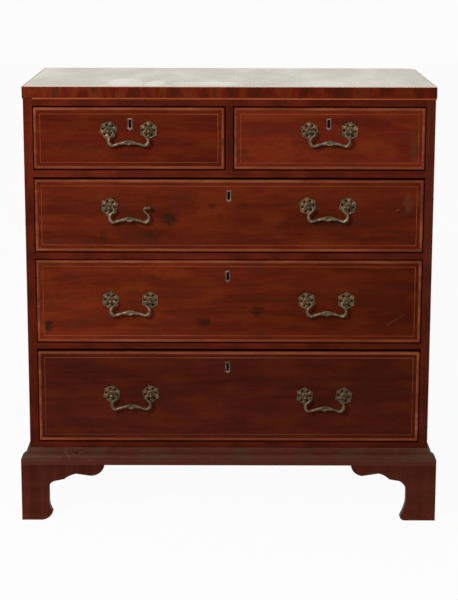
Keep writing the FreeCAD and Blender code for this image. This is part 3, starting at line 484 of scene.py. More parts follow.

# %% [markdown]
# The drawer fronts carry the chest's colour.  They are cut from one log but have aged apart, and
# their tones also hold painted shade: the lowest front is darkest, and most fronts are painted
# lighter or darker from their left end to their right, as the light falls.  One finish for all
# five would be quicker, but then the fronts would look printed, so each is its own wood with its
# own seed.  Orange and greenish patches lie over the grain, and then the marks, the painted light
# and shade, and the dirt.  A wax polish has dulled, so the shine is broad and faint, and a
# specular level well under the usual half keeps the deep red from turning grey in a white room.

# %% Drawer fronts
# the middle tone, partly painted shade, and the painted light and shade of the left and right ends
DRAWERS = {
    "top_left_drawer": (tone(0.077, 0.0079, 0.0029), 0.98, 1.12),
    "top_right_drawer": (tone(0.113, 0.0122, 0.0050), 0.99, 0.99),
    "upper_drawer": (tone(0.089, 0.0108, 0.0038), 0.98, 0.93),
    "middle_drawer": (tone(0.110, 0.0132, 0.0044), 1.05, 0.52),
    "lower_drawer": (tone(0.0425, 0.0061, 0.0034), 1.20, 1.14),
}
FRONT_ENDS = (-0.42, 0.42)
# patches for a front whose red is 1
ORANGE, GREENISH = tone(1.55, 0.27, 0.045), tone(0.52, 0.13, 0.055)
# the colour of the painted sheen, for a front whose red is 1
PAINTED_SHEEN = tone(1.50, 0.215, 0.040)
HAZE, KNOT = tone(0.090, 0.034, 0.018), tone(0.020, 0.0080, 0.0035)
SCRATCHED = tone(0.22, 0.055, 0.022)
# the colour of dirt and painted shadow round the handles, and of the keyhole's inside
DIRT_AND_SHADOW, KEYHOLE_DARK = tone(0.0105, 0.0050, 0.0028), tone(0.003, 0.002, 0.0015)


def paint(names, material):
    """Give CAD nodes a finish in place of the plain one they came with."""
    for name in names:
        for slot in nodes[name].material_slots:
            slot.material = material


def front_finish(name, colour, left, right, seed):
    """Make one drawer front: its wood, patches, marks, painted light and shade, and dirt."""
    finish, shown, pore, shade = wood(
        f"{name}_mahogany", "x", tones_of(colour, 0.64, 1.40), seed=seed)
    x, y, z = finish.place()
    red = colour[0]
    patch = finish.noise(finish.point(x / 0.10 + seed, y / 0.05, z / 0.035))
    shown = finish.blend(finish.spread(patch, 0.50, 0.70) * 0.45, shown, scaled(ORANGE, red))
    shown = finish.blend(finish.spread(patch, 0.48, 0.32) * 0.45, shown, scaled(GREENISH, red))
    ragged = finish.noise(finish.point(x / 0.014, 0.0, z / 0.008))
    for marks, stain in ((SHEEN_PATCHES, scaled(PAINTED_SHEEN, red)), (HAZES, HAZE), (KNOTS, KNOT)):
        for mark in marks.get(name, []):
            shown = finish.blend(oval(finish, x, z, ragged, mark), shown, stain)
    for mark in SCRATCHES.get(name, []):
        shown = finish.blend(scratch(finish, x, z, mark), shown, SCRATCHED)
    # painted light and shade: the front grows lighter or darker from its left end to its right
    shown = finish.lit(shown, finish.spread(x, *FRONT_ENDS, left, right))
    # dirt and painted shade round the posts, and a painted shadow under the hanging grip
    shown = finish.blend(dirt_and_shade(finish, name, x, z, ragged), shown, DIRT_AND_SHADOW)
    shown = finish.blend(in_keyhole(finish, name, x, y, z), shown, KEYHOLE_DARK)
    rough = finish.spread(shade, 0, 1, 0.50, 0.40) + pore * 0.2
    return close_wood(finish, shown, pore, shade, rough)


for number, (drawer, (colour, left, right)) in enumerate(DRAWERS.items()):
    paint([f"{drawer}_front"], front_finish(drawer, colour, left, right, number * 5.3))
print("fronts finished:", len(DRAWERS))

# %% [markdown]
# From the front the case shows little but its edges, and its sides and rails are seen from every
# other angle.  Boards that stand have upright grain, and rails lie.  One wood could serve for all
# of them, but the boards came from different logs and have stood in different light.  So each gets
# its own tone and its own painted light and shade: the left stile is painted paler beside the short
# drawers, and the rails darker low down and to the right.  Dark and warm patches lie only on the
# front edge, where hands and shoes have reached it.

# %% Case
CASE = tone(0.066, 0.0078, 0.0028)
RIGHT_SIDE = tone(0.063, 0.0102, 0.0048)
RAILS = tone(0.082, 0.0106, 0.0043)
FRONT_EDGE = (FRONT + 0.004, FRONT + 0.001)


def stile_painted_light(finish, x, z):
    """Paint light on the left stile, paler beside the short drawers."""
    return 1 + finish.spread(z, 0.66, 0.86, 0.0, 0.34) * finish.spread(x, -0.40, -0.42)


def rail_painted_shade(finish, x, z):
    """Paint shade on the rails, darker low down and to the right."""
    return finish.spread(z, 0.34, 0.56, 0.70, 1.0) * finish.spread(x, 0.05, 0.42, 1.06, 0.78)


def case_finish(name, along, colour, seed, light):
    """Make case mahogany whose front edge is patchy, under painted light and shade."""
    finish, shown, pore, shade = wood(name, along, tones_of(colour, 0.6, 1.45), seed=seed)
    x, y, z = finish.place()
    run = x if along == "x" else z
    patch = finish.noise(finish.point(run / 0.085 + seed, 0.0, 0.0))
    edge = finish.spread(y, *FRONT_EDGE)
    warm = tone(colour[0] * 1.6, colour[1] * 1.15, colour[2])
    shown = finish.blend(finish.spread(patch, 0.52, 0.36) * edge * 0.55, shown,
                         scaled(colour, 0.45))
    shown = finish.blend(finish.spread(patch, 0.52, 0.68) * edge * 0.5, shown, warm)
    # the board's painted light and shade
    shown = finish.lit(shown, light(finish, x, z))
    return close_wood(finish, shown, pore, shade, finish.spread(shade, 0, 1, 0.51, 0.41))


paint(["side_left", "short_drawer_divider"],
      case_finish("standing_mahogany", "z", CASE, 21.0, stile_painted_light))
paint(["side_right"], case_finish("standing_mahogany_right", "z", RIGHT_SIDE, 33.0, stile_painted_light))
paint(["top_rail", "drawer_rails"], case_finish("lying_mahogany", "x", RAILS, 27.0, rail_painted_shade))
print("case finished, front edge from", FRONT_EDGE[1], "to", FRONT_EDGE[0])

# %% [markdown]
# Four bracket feet are sawn from the same mahogany.  They are paler near the floor, and a few
# darker streaks run up them.  The paling could be a patch on each foot, but it depends on the
# height alone, so a spread from the floor up does it for all four.

# %% Feet
FEET = tone(0.064, 0.0133, 0.0070)
finish, shown, pore, shade = wood("foot_mahogany", "wrap", tones_of(FEET, 0.7, 1.3), stripes=0.02,
                                  seed=41.0)
x, y, z = finish.place()
streak = finish.noise(finish.point(x / 0.016, y / 0.016, z / 0.20))
paler_near_floor = finish.spread(z, 0.125, 0.005, 0.90, 1.44)
shown = finish.lit(shown, paler_near_floor * finish.spread(streak, 0.36, 0.60, 0.76, 1.06))
feet = [name for name in nodes if name.startswith("foot_")]
paint(feet, close_wood(finish, shown, pore, shade, finish.spread(shade, 0, 1, 0.51, 0.41),
                       shine=0.11))
print("feet finished:", feet)

# %% [markdown]
# The base moulding is the dustiest wood of the chest.  Dust lies in its hollow, its two arrises are
# rubbed pale and carry a painted highlight, its ends have faded, and grey specks gather on the
# left.
# Every one of these follows the moulding's section or its length, so each is a spread of height or
# of length, broken up by a noise.  The flat fascia under it has the colour of the feet.

# %% Base moulding
MOULDING = tone(0.037, 0.0068, 0.0036)
ARRISES = (0.1672, 0.1432)
HOLLOW_TOP, HOLLOW_FOOT = (0.1655, 0.1450), (0.1400, 0.1440)
FASCIA = (0.1420, 0.1408)
RUBBED_AND_HIGHLIT, DUST = tone(0.115, 0.042, 0.026), tone(0.085, 0.024, 0.014)
BROWN_PATCH, RED_PATCH = tone(0.050, 0.024, 0.0100), tone(0.062, 0.0105, 0.006)
FADED_END, SPECKS = tone(0.092, 0.050, 0.026), tone(0.105, 0.066, 0.036)
MOULDING_LOG = 47.0  # the part of the noise that this wood is cut from
finish, shown, pore, shade = wood("moulding_mahogany", "wrap", tones_of(MOULDING, 0.6, 1.5),
                                  seed=MOULDING_LOG)
x, y, z = finish.place()
uneven = finish.noise(finish.point(x / 0.03, y / 0.03, 0.0))
# the arrises: wear and a painted highlight
for level in ARRISES:
    worn_and_highlit = finish.spread(abs(z - level), 0.0024, 0.0008) * finish.spread(uneven, 0.30, 0.52)
    shown = finish.blend(worn_and_highlit * 0.38, shown, RUBBED_AND_HIGHLIT)
dust = finish.spread(z, *HOLLOW_TOP) * finish.spread(z, *HOLLOW_FOOT)
shown = finish.blend(dust * 0.6, shown, DUST)
length = finish.noise(finish.point(x / 0.075 + MOULDING_LOG, y / 0.2, z / 0.05), detail=3.0)
shown = finish.blend(finish.spread(length, 0.52, 0.64) * 0.5, shown, BROWN_PATCH)
shown = finish.blend(finish.spread(length, 0.46, 0.34) * 0.5, shown, RED_PATCH)
ends = finish.spread(x, -0.36, -0.47) + finish.spread(x, 0.40, 0.47)
shown = finish.blend(ends * 0.4, shown, FADED_END)
fine = finish.noise(finish.point(x / 0.007, y / 0.007, z / 0.004))
grey = finish.spread(fine, 0.50, 0.70) * finish.spread(z, FASCIA[0], 0.1440)
grey = grey * finish.spread(uneven, 0.44, 0.62) * finish.spread(x, -0.20, -0.40, 0.15, 0.75)
shown = finish.blend(grey, shown, SPECKS)
shown = finish.blend(finish.spread(z, *FASCIA) * 0.85, shown, FEET)
paint(["base_moulding"], finish.surface(
    Base_Color=shown, Roughness=0.6, Specular_IOR_Level=0.2, Specular_Tint=tone(1, 0.5, 0.35),
    Normal=finish.bump(shade * 0.4 - pore, PORE_DEEP)))
print("moulding finished, arrises at", ARRISES)

# %% [markdown]
# Sun and water have bleached the top in dull cream patches, palest along its front edge, where a
# painted highlight lies on the pale strip as well, and a few places kept their polish.  The haze of
# old wax shows mostly from low down.  Roughness alone can't do that, so a clear coat lies over the
# wood, faint from above and strong from a low angle.  The board's edges never had that coat, so a
# second, plain shader shows below the top face.

# %% Top
TOP = tone(0.13, 0.050, 0.022)
BLEACHED, PALE_HIGHLIT_STRIP = tone(0.27, 0.165, 0.090), tone(0.56, 0.30, 0.17)
TOP_FACE = (0.9908, 0.9918)
# places that kept their polish: across, back, half width and half depth
POLISHED = [(-0.235, -0.130, 0.040, 0.10), (-0.165, -0.160, 0.022, 0.06),
            (-0.050, -0.165, 0.080, 0.045)]
TOP_LOG = 51.0
finish, shown, pore, shade = wood("top_mahogany", "x", tones_of(TOP, 0.7, 1.3), seed=TOP_LOG)
x, y, z = finish.place()
patch = finish.noise(finish.point(x / 0.13 + TOP_LOG, y / 0.30, 0.0), roughness=0.6)
shown = finish.blend(finish.spread(patch, 0.34, 0.64) * 0.6, shown, BLEACHED)
# the pale front strip: bleaching and a painted highlight of the front edge
strip = finish.spread(y, FRONT + 0.034, FRONT + 0.004)
shown = finish.blend(strip, shown, PALE_HIGHLIT_STRIP)
coat = finish.spread(patch, 0.38, 0.66, 0.12, 0.74)
for across, back, half_wide, half_deep in POLISHED:
    away = ((x - across) / half_wide) ** 2.0 + ((y - back) / half_deep) ** 2.0
    coat = coat + finish.spread(away, 1.4, 0.5) * 0.40
hazy = finish.shader(
    Base_Color=shown, Roughness=finish.spread(patch, 0.35, 0.65, 0.22, 0.34),
    Specular_IOR_Level=0.75, Coat_Weight=coat * (1 - strip * 0.9), Coat_Roughness=0.12,
    Sheen_Weight=0.25, Sheen_Roughness=0.4, Sheen_Tint=tone(1.0, 0.99, 0.62),
    Specular_Tint=tone(1.0, 0.97, 0.84), Normal=finish.bump(shade * 0.4 - pore, 0.00002))
bare = finish.shader(Base_Color=tone(0.05, 0.009, 0.004), Roughness=0.6, Specular_IOR_Level=0.15)
paint(["top_board"], finish.close(finish.node("ShaderNodeMixShader", {}, {
    0: finish.spread(z, *TOP_FACE), 1: bare, 2: hazy})))
print("top finished, polish left in", len(POLISHED), "places")

# %% [markdown]
# The rest of the wood is secondary: oak for the drawer linings, and pine for the boards, runners
# and back that nobody sees.  A maker saves the mahogany and leaves these dry, straight from the
# plane.  One flat colour might do for the little that shows, but a drawer gets pulled out, so they
# have the same grain in pale tones, and hardly any shine.

# %% Linings
OAK = tone(0.38, 0.200, 0.085)
PINE = tone(0.42, 0.225, 0.092)


def dry_finish(name, along, colour, seed, rough):
    """Make wood that was never polished."""
    finish, shown, pore, shade = wood(name, along, tones_of(colour, 0.6, 1.45), seed=seed)
    return close_wood(finish, shown, pore, shade,
                      finish.spread(shade, 0, 1, rough + 0.05, rough - 0.05))


for drawer in DRAWERS:
    paint([f"{drawer}_box"], dry_finish(f"{drawer}_lining_oak", "wrap", OAK, 61.0, 0.7))
    paint([f"{drawer}_bottom"], dry_finish(f"{drawer}_bottom_oak", "x", OAK, 67.0, 0.7))
paint(["dustboards", "bottom_board"], dry_finish("case_pine", "x", PINE, 71.0, 0.75))
paint(["drawer_runners", "drawer_stops"], dry_finish("runner_pine", "y", PINE, 77.0, 0.75))
paint(["back_boards"], dry_finish("back_pine", "z", scaled(PINE, 0.85), 83.0, 0.8))
print("linings finished:", 2 * len(DRAWERS), "in oak, 5 in pine")

# %% [markdown]
# The top's edge is banded with short lengths of veneer whose grain stands upright, each from
# another part of the log.  They could be cut as fifty small pieces, but a veneer has no thickness
# to see, so a slow noise along the edge picks the tone instead.  The banding is painted darker
# towards the right, as shade, and the arris above is rubbed pale and carries a painted highlight.

# %% Banding
BANDING = (tone(0.052, 0.0085, 0.0036), tone(0.095, 0.0130, 0.0045), tone(0.150, 0.0260, 0.0070))
# where each veneer's tone lies in the choice from 0 to 1
VENEERS = [(0.0, tone(0.036, 0.0082, 0.0034)), (0.3, tone(0.060, 0.0066, 0.0028)),
           (0.5, tone(0.112, 0.0082, 0.0034)), (0.75, tone(0.122, 0.0190, 0.0046)),
           (1.0, tone(0.052, 0.0130, 0.0042))]
VENEER_LENGTH, BANDING_LOG = 0.034, 87.0
ARRIS, ARRIS_RUBBED_AND_HIGHLIT = (0.9925, 0.9930), tone(0.74, 0.44, 0.30)
finish, shown, pore, shade = wood("banding_mahogany", "upright", BANDING, seed=BANDING_LOG)
x, y, z = finish.place()
patch = finish.noise(finish.point((x + y) / VENEER_LENGTH, z / 0.08, BANDING_LOG), detail=3.0,
                     roughness=0.6)
shown = finish.blend(0.8, shown, finish.ramp(finish.spread(patch, 0.34, 0.66), VENEERS))
# painted shade, darker towards the right
shown = finish.lit(shown, finish.spread(x, -0.45, 0.45, 1.0, 0.80))
# the arris: wear and a painted highlight
shown = finish.blend(finish.spread(z, *ARRIS), shown, ARRIS_RUBBED_AND_HIGHLIT)
paint(["top_edge_banding"],
      close_wood(finish, shown, pore, shade, finish.spread(shade, 0, 1, 0.5, 0.42)))
print("banding finished with", len(VENEERS), "veneers")

# %% [markdown]
# A cock bead is a thin rounded strip let in round each drawer front, to guard its veneer.  Hands
# and dusters wear its nose.  The solid has that round nose already, so all it needs is a finish:
# paler and rosier than the front, with broad stripes, since so thin a strip shows no figure.

# %% Cock beads
BEAD = (tone(0.085, 0.0130, 0.0038), tone(0.165, 0.0320, 0.0095), tone(0.260, 0.0700, 0.0270))
finish, shown, pore, shade = wood("bead_mahogany", "wrap", BEAD, stripes=0.02)
beads = [f"{drawer}_cock_bead" for drawer in DRAWERS]
paint(beads, finish.surface(
    Base_Color=shown, Roughness=0.45, Specular_IOR_Level=0.25, Specular_Tint=tone(1.0, 0.55, 0.35),
    Normal=finish.bump(shade - pore, 0.0001)))
print("beads finished:", len(beads))

# %% [markdown]
# The handles are old brass that is handled but never polished: brown-grey, a little rosy where
# fingers rub it, with green in its hollows.  A plain metal shader would mirror the white room like
# a new handle.  Here clouds of patina, which is hardly metal at all, lie over the metal.  The
# handles carry an attribute named `hollow` on their points, which says where dirt and painted
# shade lie deep.  The metal of the lowest drawer is painted darker, as shade.

# %% Brass and steel
VERDIGRIS, HOLLOW_DIRT_AND_SHADE = tone(0.054, 0.062, 0.024), tone(0.010, 0.0085, 0.0045)
SHADED_IRON = tone(0.006, 0.005, 0.004)
KEYHOLE_PLATE = 0.0031  # how far back the inlaid plate reaches


def brass_finish(name, colour, green=0.7, rough=0.42, behind=None):
    """Make an old metal; what lies further back than `behind` is lock iron in painted keyhole
    shade.
    """
    finish = Finish(bpy.data.materials.new(name))
    x, y, z = finish.place()
    cloud = finish.noise(finish.point(x / 0.010, y / 0.010, z / 0.010), detail=4.0, roughness=0.65)
    grit = finish.noise(finish.point(x / 0.0012, y / 0.0012, z / 0.0012))
    shown = finish.blend(finish.spread(cloud, 0.40, 0.64), scaled(colour, 0.32),
                         scaled(colour, 1.30))
    sunk = finish.node("ShaderNodeAttribute", {"attribute_name": "hollow"}, output="Fac")
    patina = finish.spread(cloud * 0.7 + grit * 0.3 - sunk * 0.10, 0.46, 0.36)
    shown = finish.blend(patina * green, shown, VERDIGRIS)
    # dirt and painted shade in the hollows
    shown = finish.blend(sunk * 0.8, shown, HOLLOW_DIRT_AND_SHADE)
    # painted shade: the metal of the lowest drawer is darker
    shown = finish.lit(shown, finish.spread(z, 0.32, 0.40, 0.74, 1.0))
    if behind is not None:
        # the lock's iron, painted near black as the shade inside the keyhole
        shown = finish.blend(finish.spread(y, behind, behind + 0.0006), shown, SHADED_IRON)
    return finish.surface(
        Base_Color=shown, Metallic=finish.spread(patina, 0, 1, 0.50, 0.1),
        Roughness=finish.spread(cloud, 0.3, 0.7, rough + 0.12, rough - 0.1),
        Specular_IOR_Level=0.5, Specular_Tint=tone(1.0, 0.82, 0.58),
        Normal=finish.bump(grit + cloud, 0.0003))


handle_brass = brass_finish("handle_brass", tone(0.205, 0.118, 0.056), rough=0.38)
bail_brass = brass_finish("bail_brass", tone(0.150, 0.110, 0.062), rough=0.40)
lock_brass = brass_finish("lock_brass", tone(0.150, 0.105, 0.070), green=0.3,
                          behind=FRONT + KEYHOLE_PLATE)
lock_steel = brass_finish("lock_steel", tone(0.16, 0.15, 0.145), green=0.0)
for drawer in DRAWERS:
    paint([f"{drawer}_lock"], lock_brass)
    paint([f"{drawer}_lock_bolt"], lock_steel)
    paint([f"{drawer}_handle_mounts"], handle_brass)
paint([name for name in nodes if name.endswith("_bail")], handle_brass)
print("metals finished for", len(DRAWERS), "drawers and", len(pivots), "bails")

# %% [markdown]
# A fine line of boxwood is let into each front, and another runs under the top.  Boxwood is pale
# when it is cut, but polish and smoke have turned it orange-brown.  It could have one material for
# each line, but height alone tells them apart.  The line of the lowest drawer is painted dimmer, as
# shade, the line under the top is brighter, and a painted shadow darkens that one where it meets
# the banding.

# %% Boxwood
BOXWOOD = (tone(0.15, 0.026, 0.0090), tone(0.25, 0.050, 0.0170), tone(0.34, 0.090, 0.0340))
UNDER_BANDING, CORNER_SHADOW = (0.9676, 0.9681), tone(0.090, 0.0150, 0.0060)
finish, shown, pore, shade = wood("boxwood", "wrap", BOXWOOD, stripes=0.03)
x, y, z = finish.place()
# a painted shadow right under the banding
shown = finish.blend(finish.spread(z, *UNDER_BANDING), shown, CORNER_SHADOW)
# painted shade on the lowest drawer's line
low_line_shade = finish.spread(z, 0.36, 0.39, 0.62, 1.0)
top_line = finish.spread(z, 0.955, 0.957, 0.0, 0.35)
boxwood = finish.surface(
    Base_Color=finish.lit(shown, low_line_shade + top_line), Roughness=0.5, Specular_IOR_Level=0.2,
    Specular_Tint=tone(1.0, 0.5, 0.3), Normal=finish.bump(shade, 0.0001))
print("string is cut from", boxwood.name)

# %% [markdown]
# On the real front the string is a square strip, a finger's width in from the bead, mitred at its
# corners and glued in a scratched groove.  Four bars would leave seams at those mitres.  So it
# starts as one flat rectangle: an inset leaves a frame of the string's width, the middle is taken
# out, and the frame is drawn down into its groove.

# %% String in the fronts
STRING_WIDE = 0.0015
STRING_DEEP = 0.0009
STRING_INSET = 0.0145
STRING_SUNK = 0.00005


def verts_of(geom):
    """Return the vertices among what an operator made."""
    return [part for part in geom if isinstance(part, bmesh.types.BMVert)]


def string_frame(mesh, left, right, low, high, face):
    """Lay a closed string whose middle line is the given rectangle."""
    grown = bmesh.ops.create_grid(mesh, x_segments=1, y_segments=1, size=0.5)["verts"]
    size = (right - left + STRING_WIDE, high - low + STRING_WIDE, 1)
    bmesh.ops.scale(mesh, vec=size, verts=grown)
    bmesh.ops.rotate(mesh, matrix=Matrix.Rotation(pi / 2, 3, "X"), verts=grown)
    bmesh.ops.translate(mesh, vec=((left + right) / 2, face, (low + high) / 2), verts=grown)
    sheet = list(mesh.faces)
    bmesh.ops.inset_individual(mesh, faces=sheet, thickness=STRING_WIDE)
    bmesh.ops.delete(mesh, geom=sheet, context="FACES")
    pushed = bmesh.ops.extrude_face_region(mesh, geom=list(mesh.faces))["geom"]
    bmesh.ops.translate(mesh, vec=(0, STRING_DEEP, 0), verts=verts_of(pushed))
    bmesh.ops.recalc_face_normals(mesh, faces=mesh.faces)


for drawer in DRAWERS:
    low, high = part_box(f"{drawer}_front")
    mesh = bmesh.new()
    string_frame(mesh, low.x + STRING_INSET, high.x - STRING_INSET, low.z + STRING_INSET,
                 high.z - STRING_INSET, FRONT + STRING_SUNK)
    string = piece_from(mesh, f"{drawer}_string", boxwood)
    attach(string, drawer)
    print(drawer, "string", tuple(round(side, 4) for side in string.dimensions))

# %% [markdown]
# A second string runs under the banding of the top, along the front and both sides, and fills the
# small step that the banding leaves.  It is three straight sticks that meet at the corners, so here
# plain bars with eased edges are both right and light.  The last stretch at the left end of the
# front has come away and was never replaced.

# %% String under the top
band_low, band_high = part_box("top_edge_banding")
step_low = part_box("top_board")[0].z
LOST = 0.023
TOP_STRING_OUT = 0.0028
CORNER_ROUND = 0.030  # the top's right back corner
BEHIND = 0.0002  # how far the string lies behind the banding
LIFT = 0.0003  # and above the underside of the top
EASED = 0.0003


def bar(mesh, low, high):
    """Add a square-sawn bar between two corners."""
    made = bmesh.ops.create_cube(mesh, size=1)["verts"]
    bmesh.ops.scale(mesh, vec=Vector(high) - Vector(low), verts=made)
    bmesh.ops.translate(mesh, vec=(Vector(high) + Vector(low)) / 2, verts=made)
    return made


mesh = bmesh.new()
outer, front, back = band_high.x - BEHIND, band_low.y + BEHIND, band_high.y
under, over = step_low + LIFT, band_low.z
inner = front + TOP_STRING_OUT
bar(mesh, (-outer + LOST, front, under), (outer, inner, over))
for hand in (-1, 1):
    left, right = sorted((hand * outer, hand * (outer - TOP_STRING_OUT)))
    end = back - (CORNER_ROUND if hand > 0 else 0)
    bar(mesh, (left, inner, under), (right, end, over))
bmesh.ops.bevel(mesh, geom=list(mesh.edges), offset=EASED, affect="EDGES", segments=1,
                profile=0.5, material=-1)
top_string = piece_from(mesh, "top_string", boxwood)
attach(top_string, "case")
print("top string", tuple(round(side, 4) for side in top_string.dimensions))

# %% [markdown]
# Each handle hangs between two cast posts.  A post is turned on a lathe after casting, and Blender
# has the same tool: a line of points is the profile and `spin` turns it round.  Stacked cones would
# show a ring at every join.  Behind the front the post runs on as a shank, and a square nut holds
# it.

# %% Post and nut
# distance out of the front, and radius
POST_PROFILE = [(0.0010, 0.0088), (0.0030, 0.0086), (0.0040, 0.0076), (0.0052, 0.0054),
                (0.0068, 0.0040), (0.0088, 0.0036), (0.0104, 0.0046), (0.0122, 0.0062),
                (0.0142, 0.0069), (0.0168, 0.0067), (0.0188, 0.0054), (0.0200, 0.0038),
                (0.0208, 0.0035), (0.0222, 0.0031), (0.0234, 0.0019), (0.0240, 0.0)]
EYE_PROFILE = [(0.0018, 0.0030), (0.0098, 0.0026), (0.0116, 0.0030), (0.0130, 0.0038),
               (0.0146, 0.0042), (0.0174, 0.0042), (0.0188, 0.0037), (0.0197, 0.0026),
               (0.0202, 0.0)]
SHANK_PROFILE = [(-0.0310, 0.0), (-0.0310, 0.0025), (-0.0305, 0.0030), (0.0020, 0.0030)]
BOARD = 0.022
NUT_HALF, NUT_THICK, NUT_EASED = 0.006, 0.005, 0.0006


def turned(mesh, profile, spot, steps=24):
    """Spin a profile round its axis."""
    line = [mesh.verts.new(spot + Vector((radius, -out, 0))) for out, radius in profile]
    edges = [mesh.edges.new(pair) for pair in zip(line, line[1:])]
    bmesh.ops.spin(mesh, geom=line + edges, cent=spot, axis=(0, 1, 0), angle=2 * pi,
                   steps=steps, use_merge=True)


def edges_at(verts):
    """Return the edges that meet at some vertices, each once and in order."""
    return list(dict.fromkeys(edge for vertex in verts for edge in vertex.link_edges))


def nut(mesh, spot):
    """Add a square nut with eased edges, against the back of the front."""
    made = bar(mesh, spot + Vector((-NUT_HALF, BOARD, -NUT_HALF)),
               spot + Vector((NUT_HALF, BOARD + NUT_THICK, NUT_HALF)))
    bmesh.ops.bevel(mesh, geom=edges_at(made), offset=NUT_EASED, affect="EDGES", segments=2,
                    profile=0.5, material=-1)


print("post stands out", POST_PROFILE[-1][0], "m")

# %% [markdown]
# Under each post lies a six-sided rosette, cast with a raised rim and pierced between its six
# leaves.  It could be cut from a hexagon, with a hole sawn for each gap, but seen flat it is a
# wheel with a sixfold rhythm, so one spoke of points is spun into a round grid.  Then each point
# asks how far it is from the nearest flat: the outer rings are drawn out to six corners, and the
# leaves, the valley and the rim are raised.

# %% Rosette, seen flat
# distance from the middle, rise, and how far the ring is drawn out to the corners
SPOKE = [(0.0032, 0.0016, 0), (0.0062, 0.0019, 0), (0.0084, 0.0009, 0), (0.0100, 0.0013, 0.2),
         (0.0122, 0.0018, 0.5), (0.0144, 0.0014, 0.8), (0.0156, 0.0010, 1), (0.0168, 0.0021, 1),
         (0.0176, 0.0020, 1), (0.0180, 0.0009, 1)]
SECTORS = 36
SIXTH = 2 * pi / 6
LEAVES, LEAF_RISE, NO_LEAF = (0.009, 0.015), 0.0012, 0.6
HOLES, HOLE_HALF = (0.0101, 0.0143), radians(10)
SUNK, HOLLOW_RISE = 0.0003, 0.0008


def from_flat(point):
    """Return the angle from a point to the middle of the nearest flat of the hexagon."""
    return (atan2(point.z, point.x) + SIXTH / 2) % SIXTH - SIXTH / 2


def reach_of(point):
    """Return how far a point is from the middle of the wheel."""
    return Vector((point.x, point.z)).length


def pierced(face):
    """Tell whether a face lies over one of the six holes."""
    middle = face.calc_center_median()
    return abs(from_flat(middle)) < HOLE_HALF and HOLES[0] < reach_of(middle) < HOLES[1]


def shape_leaves(wheel, hollow):
    """Raise the leaves and the rim, draw the outer rings out, and mark what is hollow."""
    rings = {round(reach, 5): (rise, corner) for reach, rise, corner in SPOKE}
    for vertex in wheel.verts:
        reach, off = reach_of(vertex.co), from_flat(vertex.co)
        rise, corner = rings[min(rings, key=lambda ring: abs(ring - reach))]
        leaf = (1 - cos(6 * off)) / 2 if LEAVES[0] < reach < LEAVES[1] else NO_LEAF
        grown = 1 + corner * (1 / cos(off) - 1)
        vertex.co.x *= grown
        vertex.co.z *= grown
        vertex.co.y = SUNK - (rise + LEAF_RISE * leaf)
        # the hollow mark: dirt and painted shade in the low rings and between the leaves
        vertex[hollow] = min(1.0, max(0.0, 2 - rise / HOLLOW_RISE) + 0.5 * (1 - leaf))


print("rosette", 2 * SPOKE[-1][0], "m across its flats")

# %% [markdown]
# A casting is solid down to its flat back.  A Solidify modifier would give it one thickness
# everywhere, and a hollow back with it.  Here the faces over the holes are taken away, the sheet is
# turned to face outwards, and a copy of it is pushed back to one flat level.  Each rosette is then
# turned a little, as its screw left it.


# %% Rosette, made solid
def rosette(mesh, spot, turn):
    """Add one pierced rosette."""
    made = bmesh.new()
    hollow = made.verts.layers.float.new("hollow")
    line = [made.verts.new((reach, 0, 0)) for reach, rise, corner in SPOKE]
    edges = [made.edges.new(pair) for pair in zip(line, line[1:])]
    bmesh.ops.spin(made, geom=line + edges, cent=(0, 0, 0), axis=(0, 1, 0), angle=2 * pi,
                   steps=SECTORS, use_merge=True)
    bmesh.ops.remove_doubles(made, verts=made.verts, dist=1e-6)
    bmesh.ops.delete(made, geom=[face for face in made.faces if pierced(face)], context="FACES")
    shape_leaves(made, hollow)
    bmesh.ops.recalc_face_normals(made, faces=made.faces)
    if sum(face.normal.y for face in made.faces) > 0:
        bmesh.ops.reverse_faces(made, faces=made.faces)
    under = bmesh.ops.extrude_face_region(made, geom=list(made.faces), use_keep_orig=True)["geom"]
    for vertex in verts_of(under):
        vertex.co.y = 0.0
    bmesh.ops.recalc_face_normals(made, faces=made.faces)
    bmesh.ops.rotate(made, matrix=Matrix.Rotation(turn, 3, "Y"), verts=made.verts)
    bmesh.ops.translate(made, vec=spot, verts=made.verts)
    spare = bpy.data.meshes.new("rosette")
    made.to_mesh(spare)
    made.free()
    mesh.from_mesh(spare)
    bpy.data.meshes.remove(spare)


print("a rosette is spun in", SECTORS, "sectors")

# %% [markdown]
# The posts, rosettes and nuts of a drawer are one piece, as they are in the drawing, so that the
# handles can't drift apart.  The left handle of the upper drawer has lost the rosette at its right
# end, and its bare post is a slender eye.

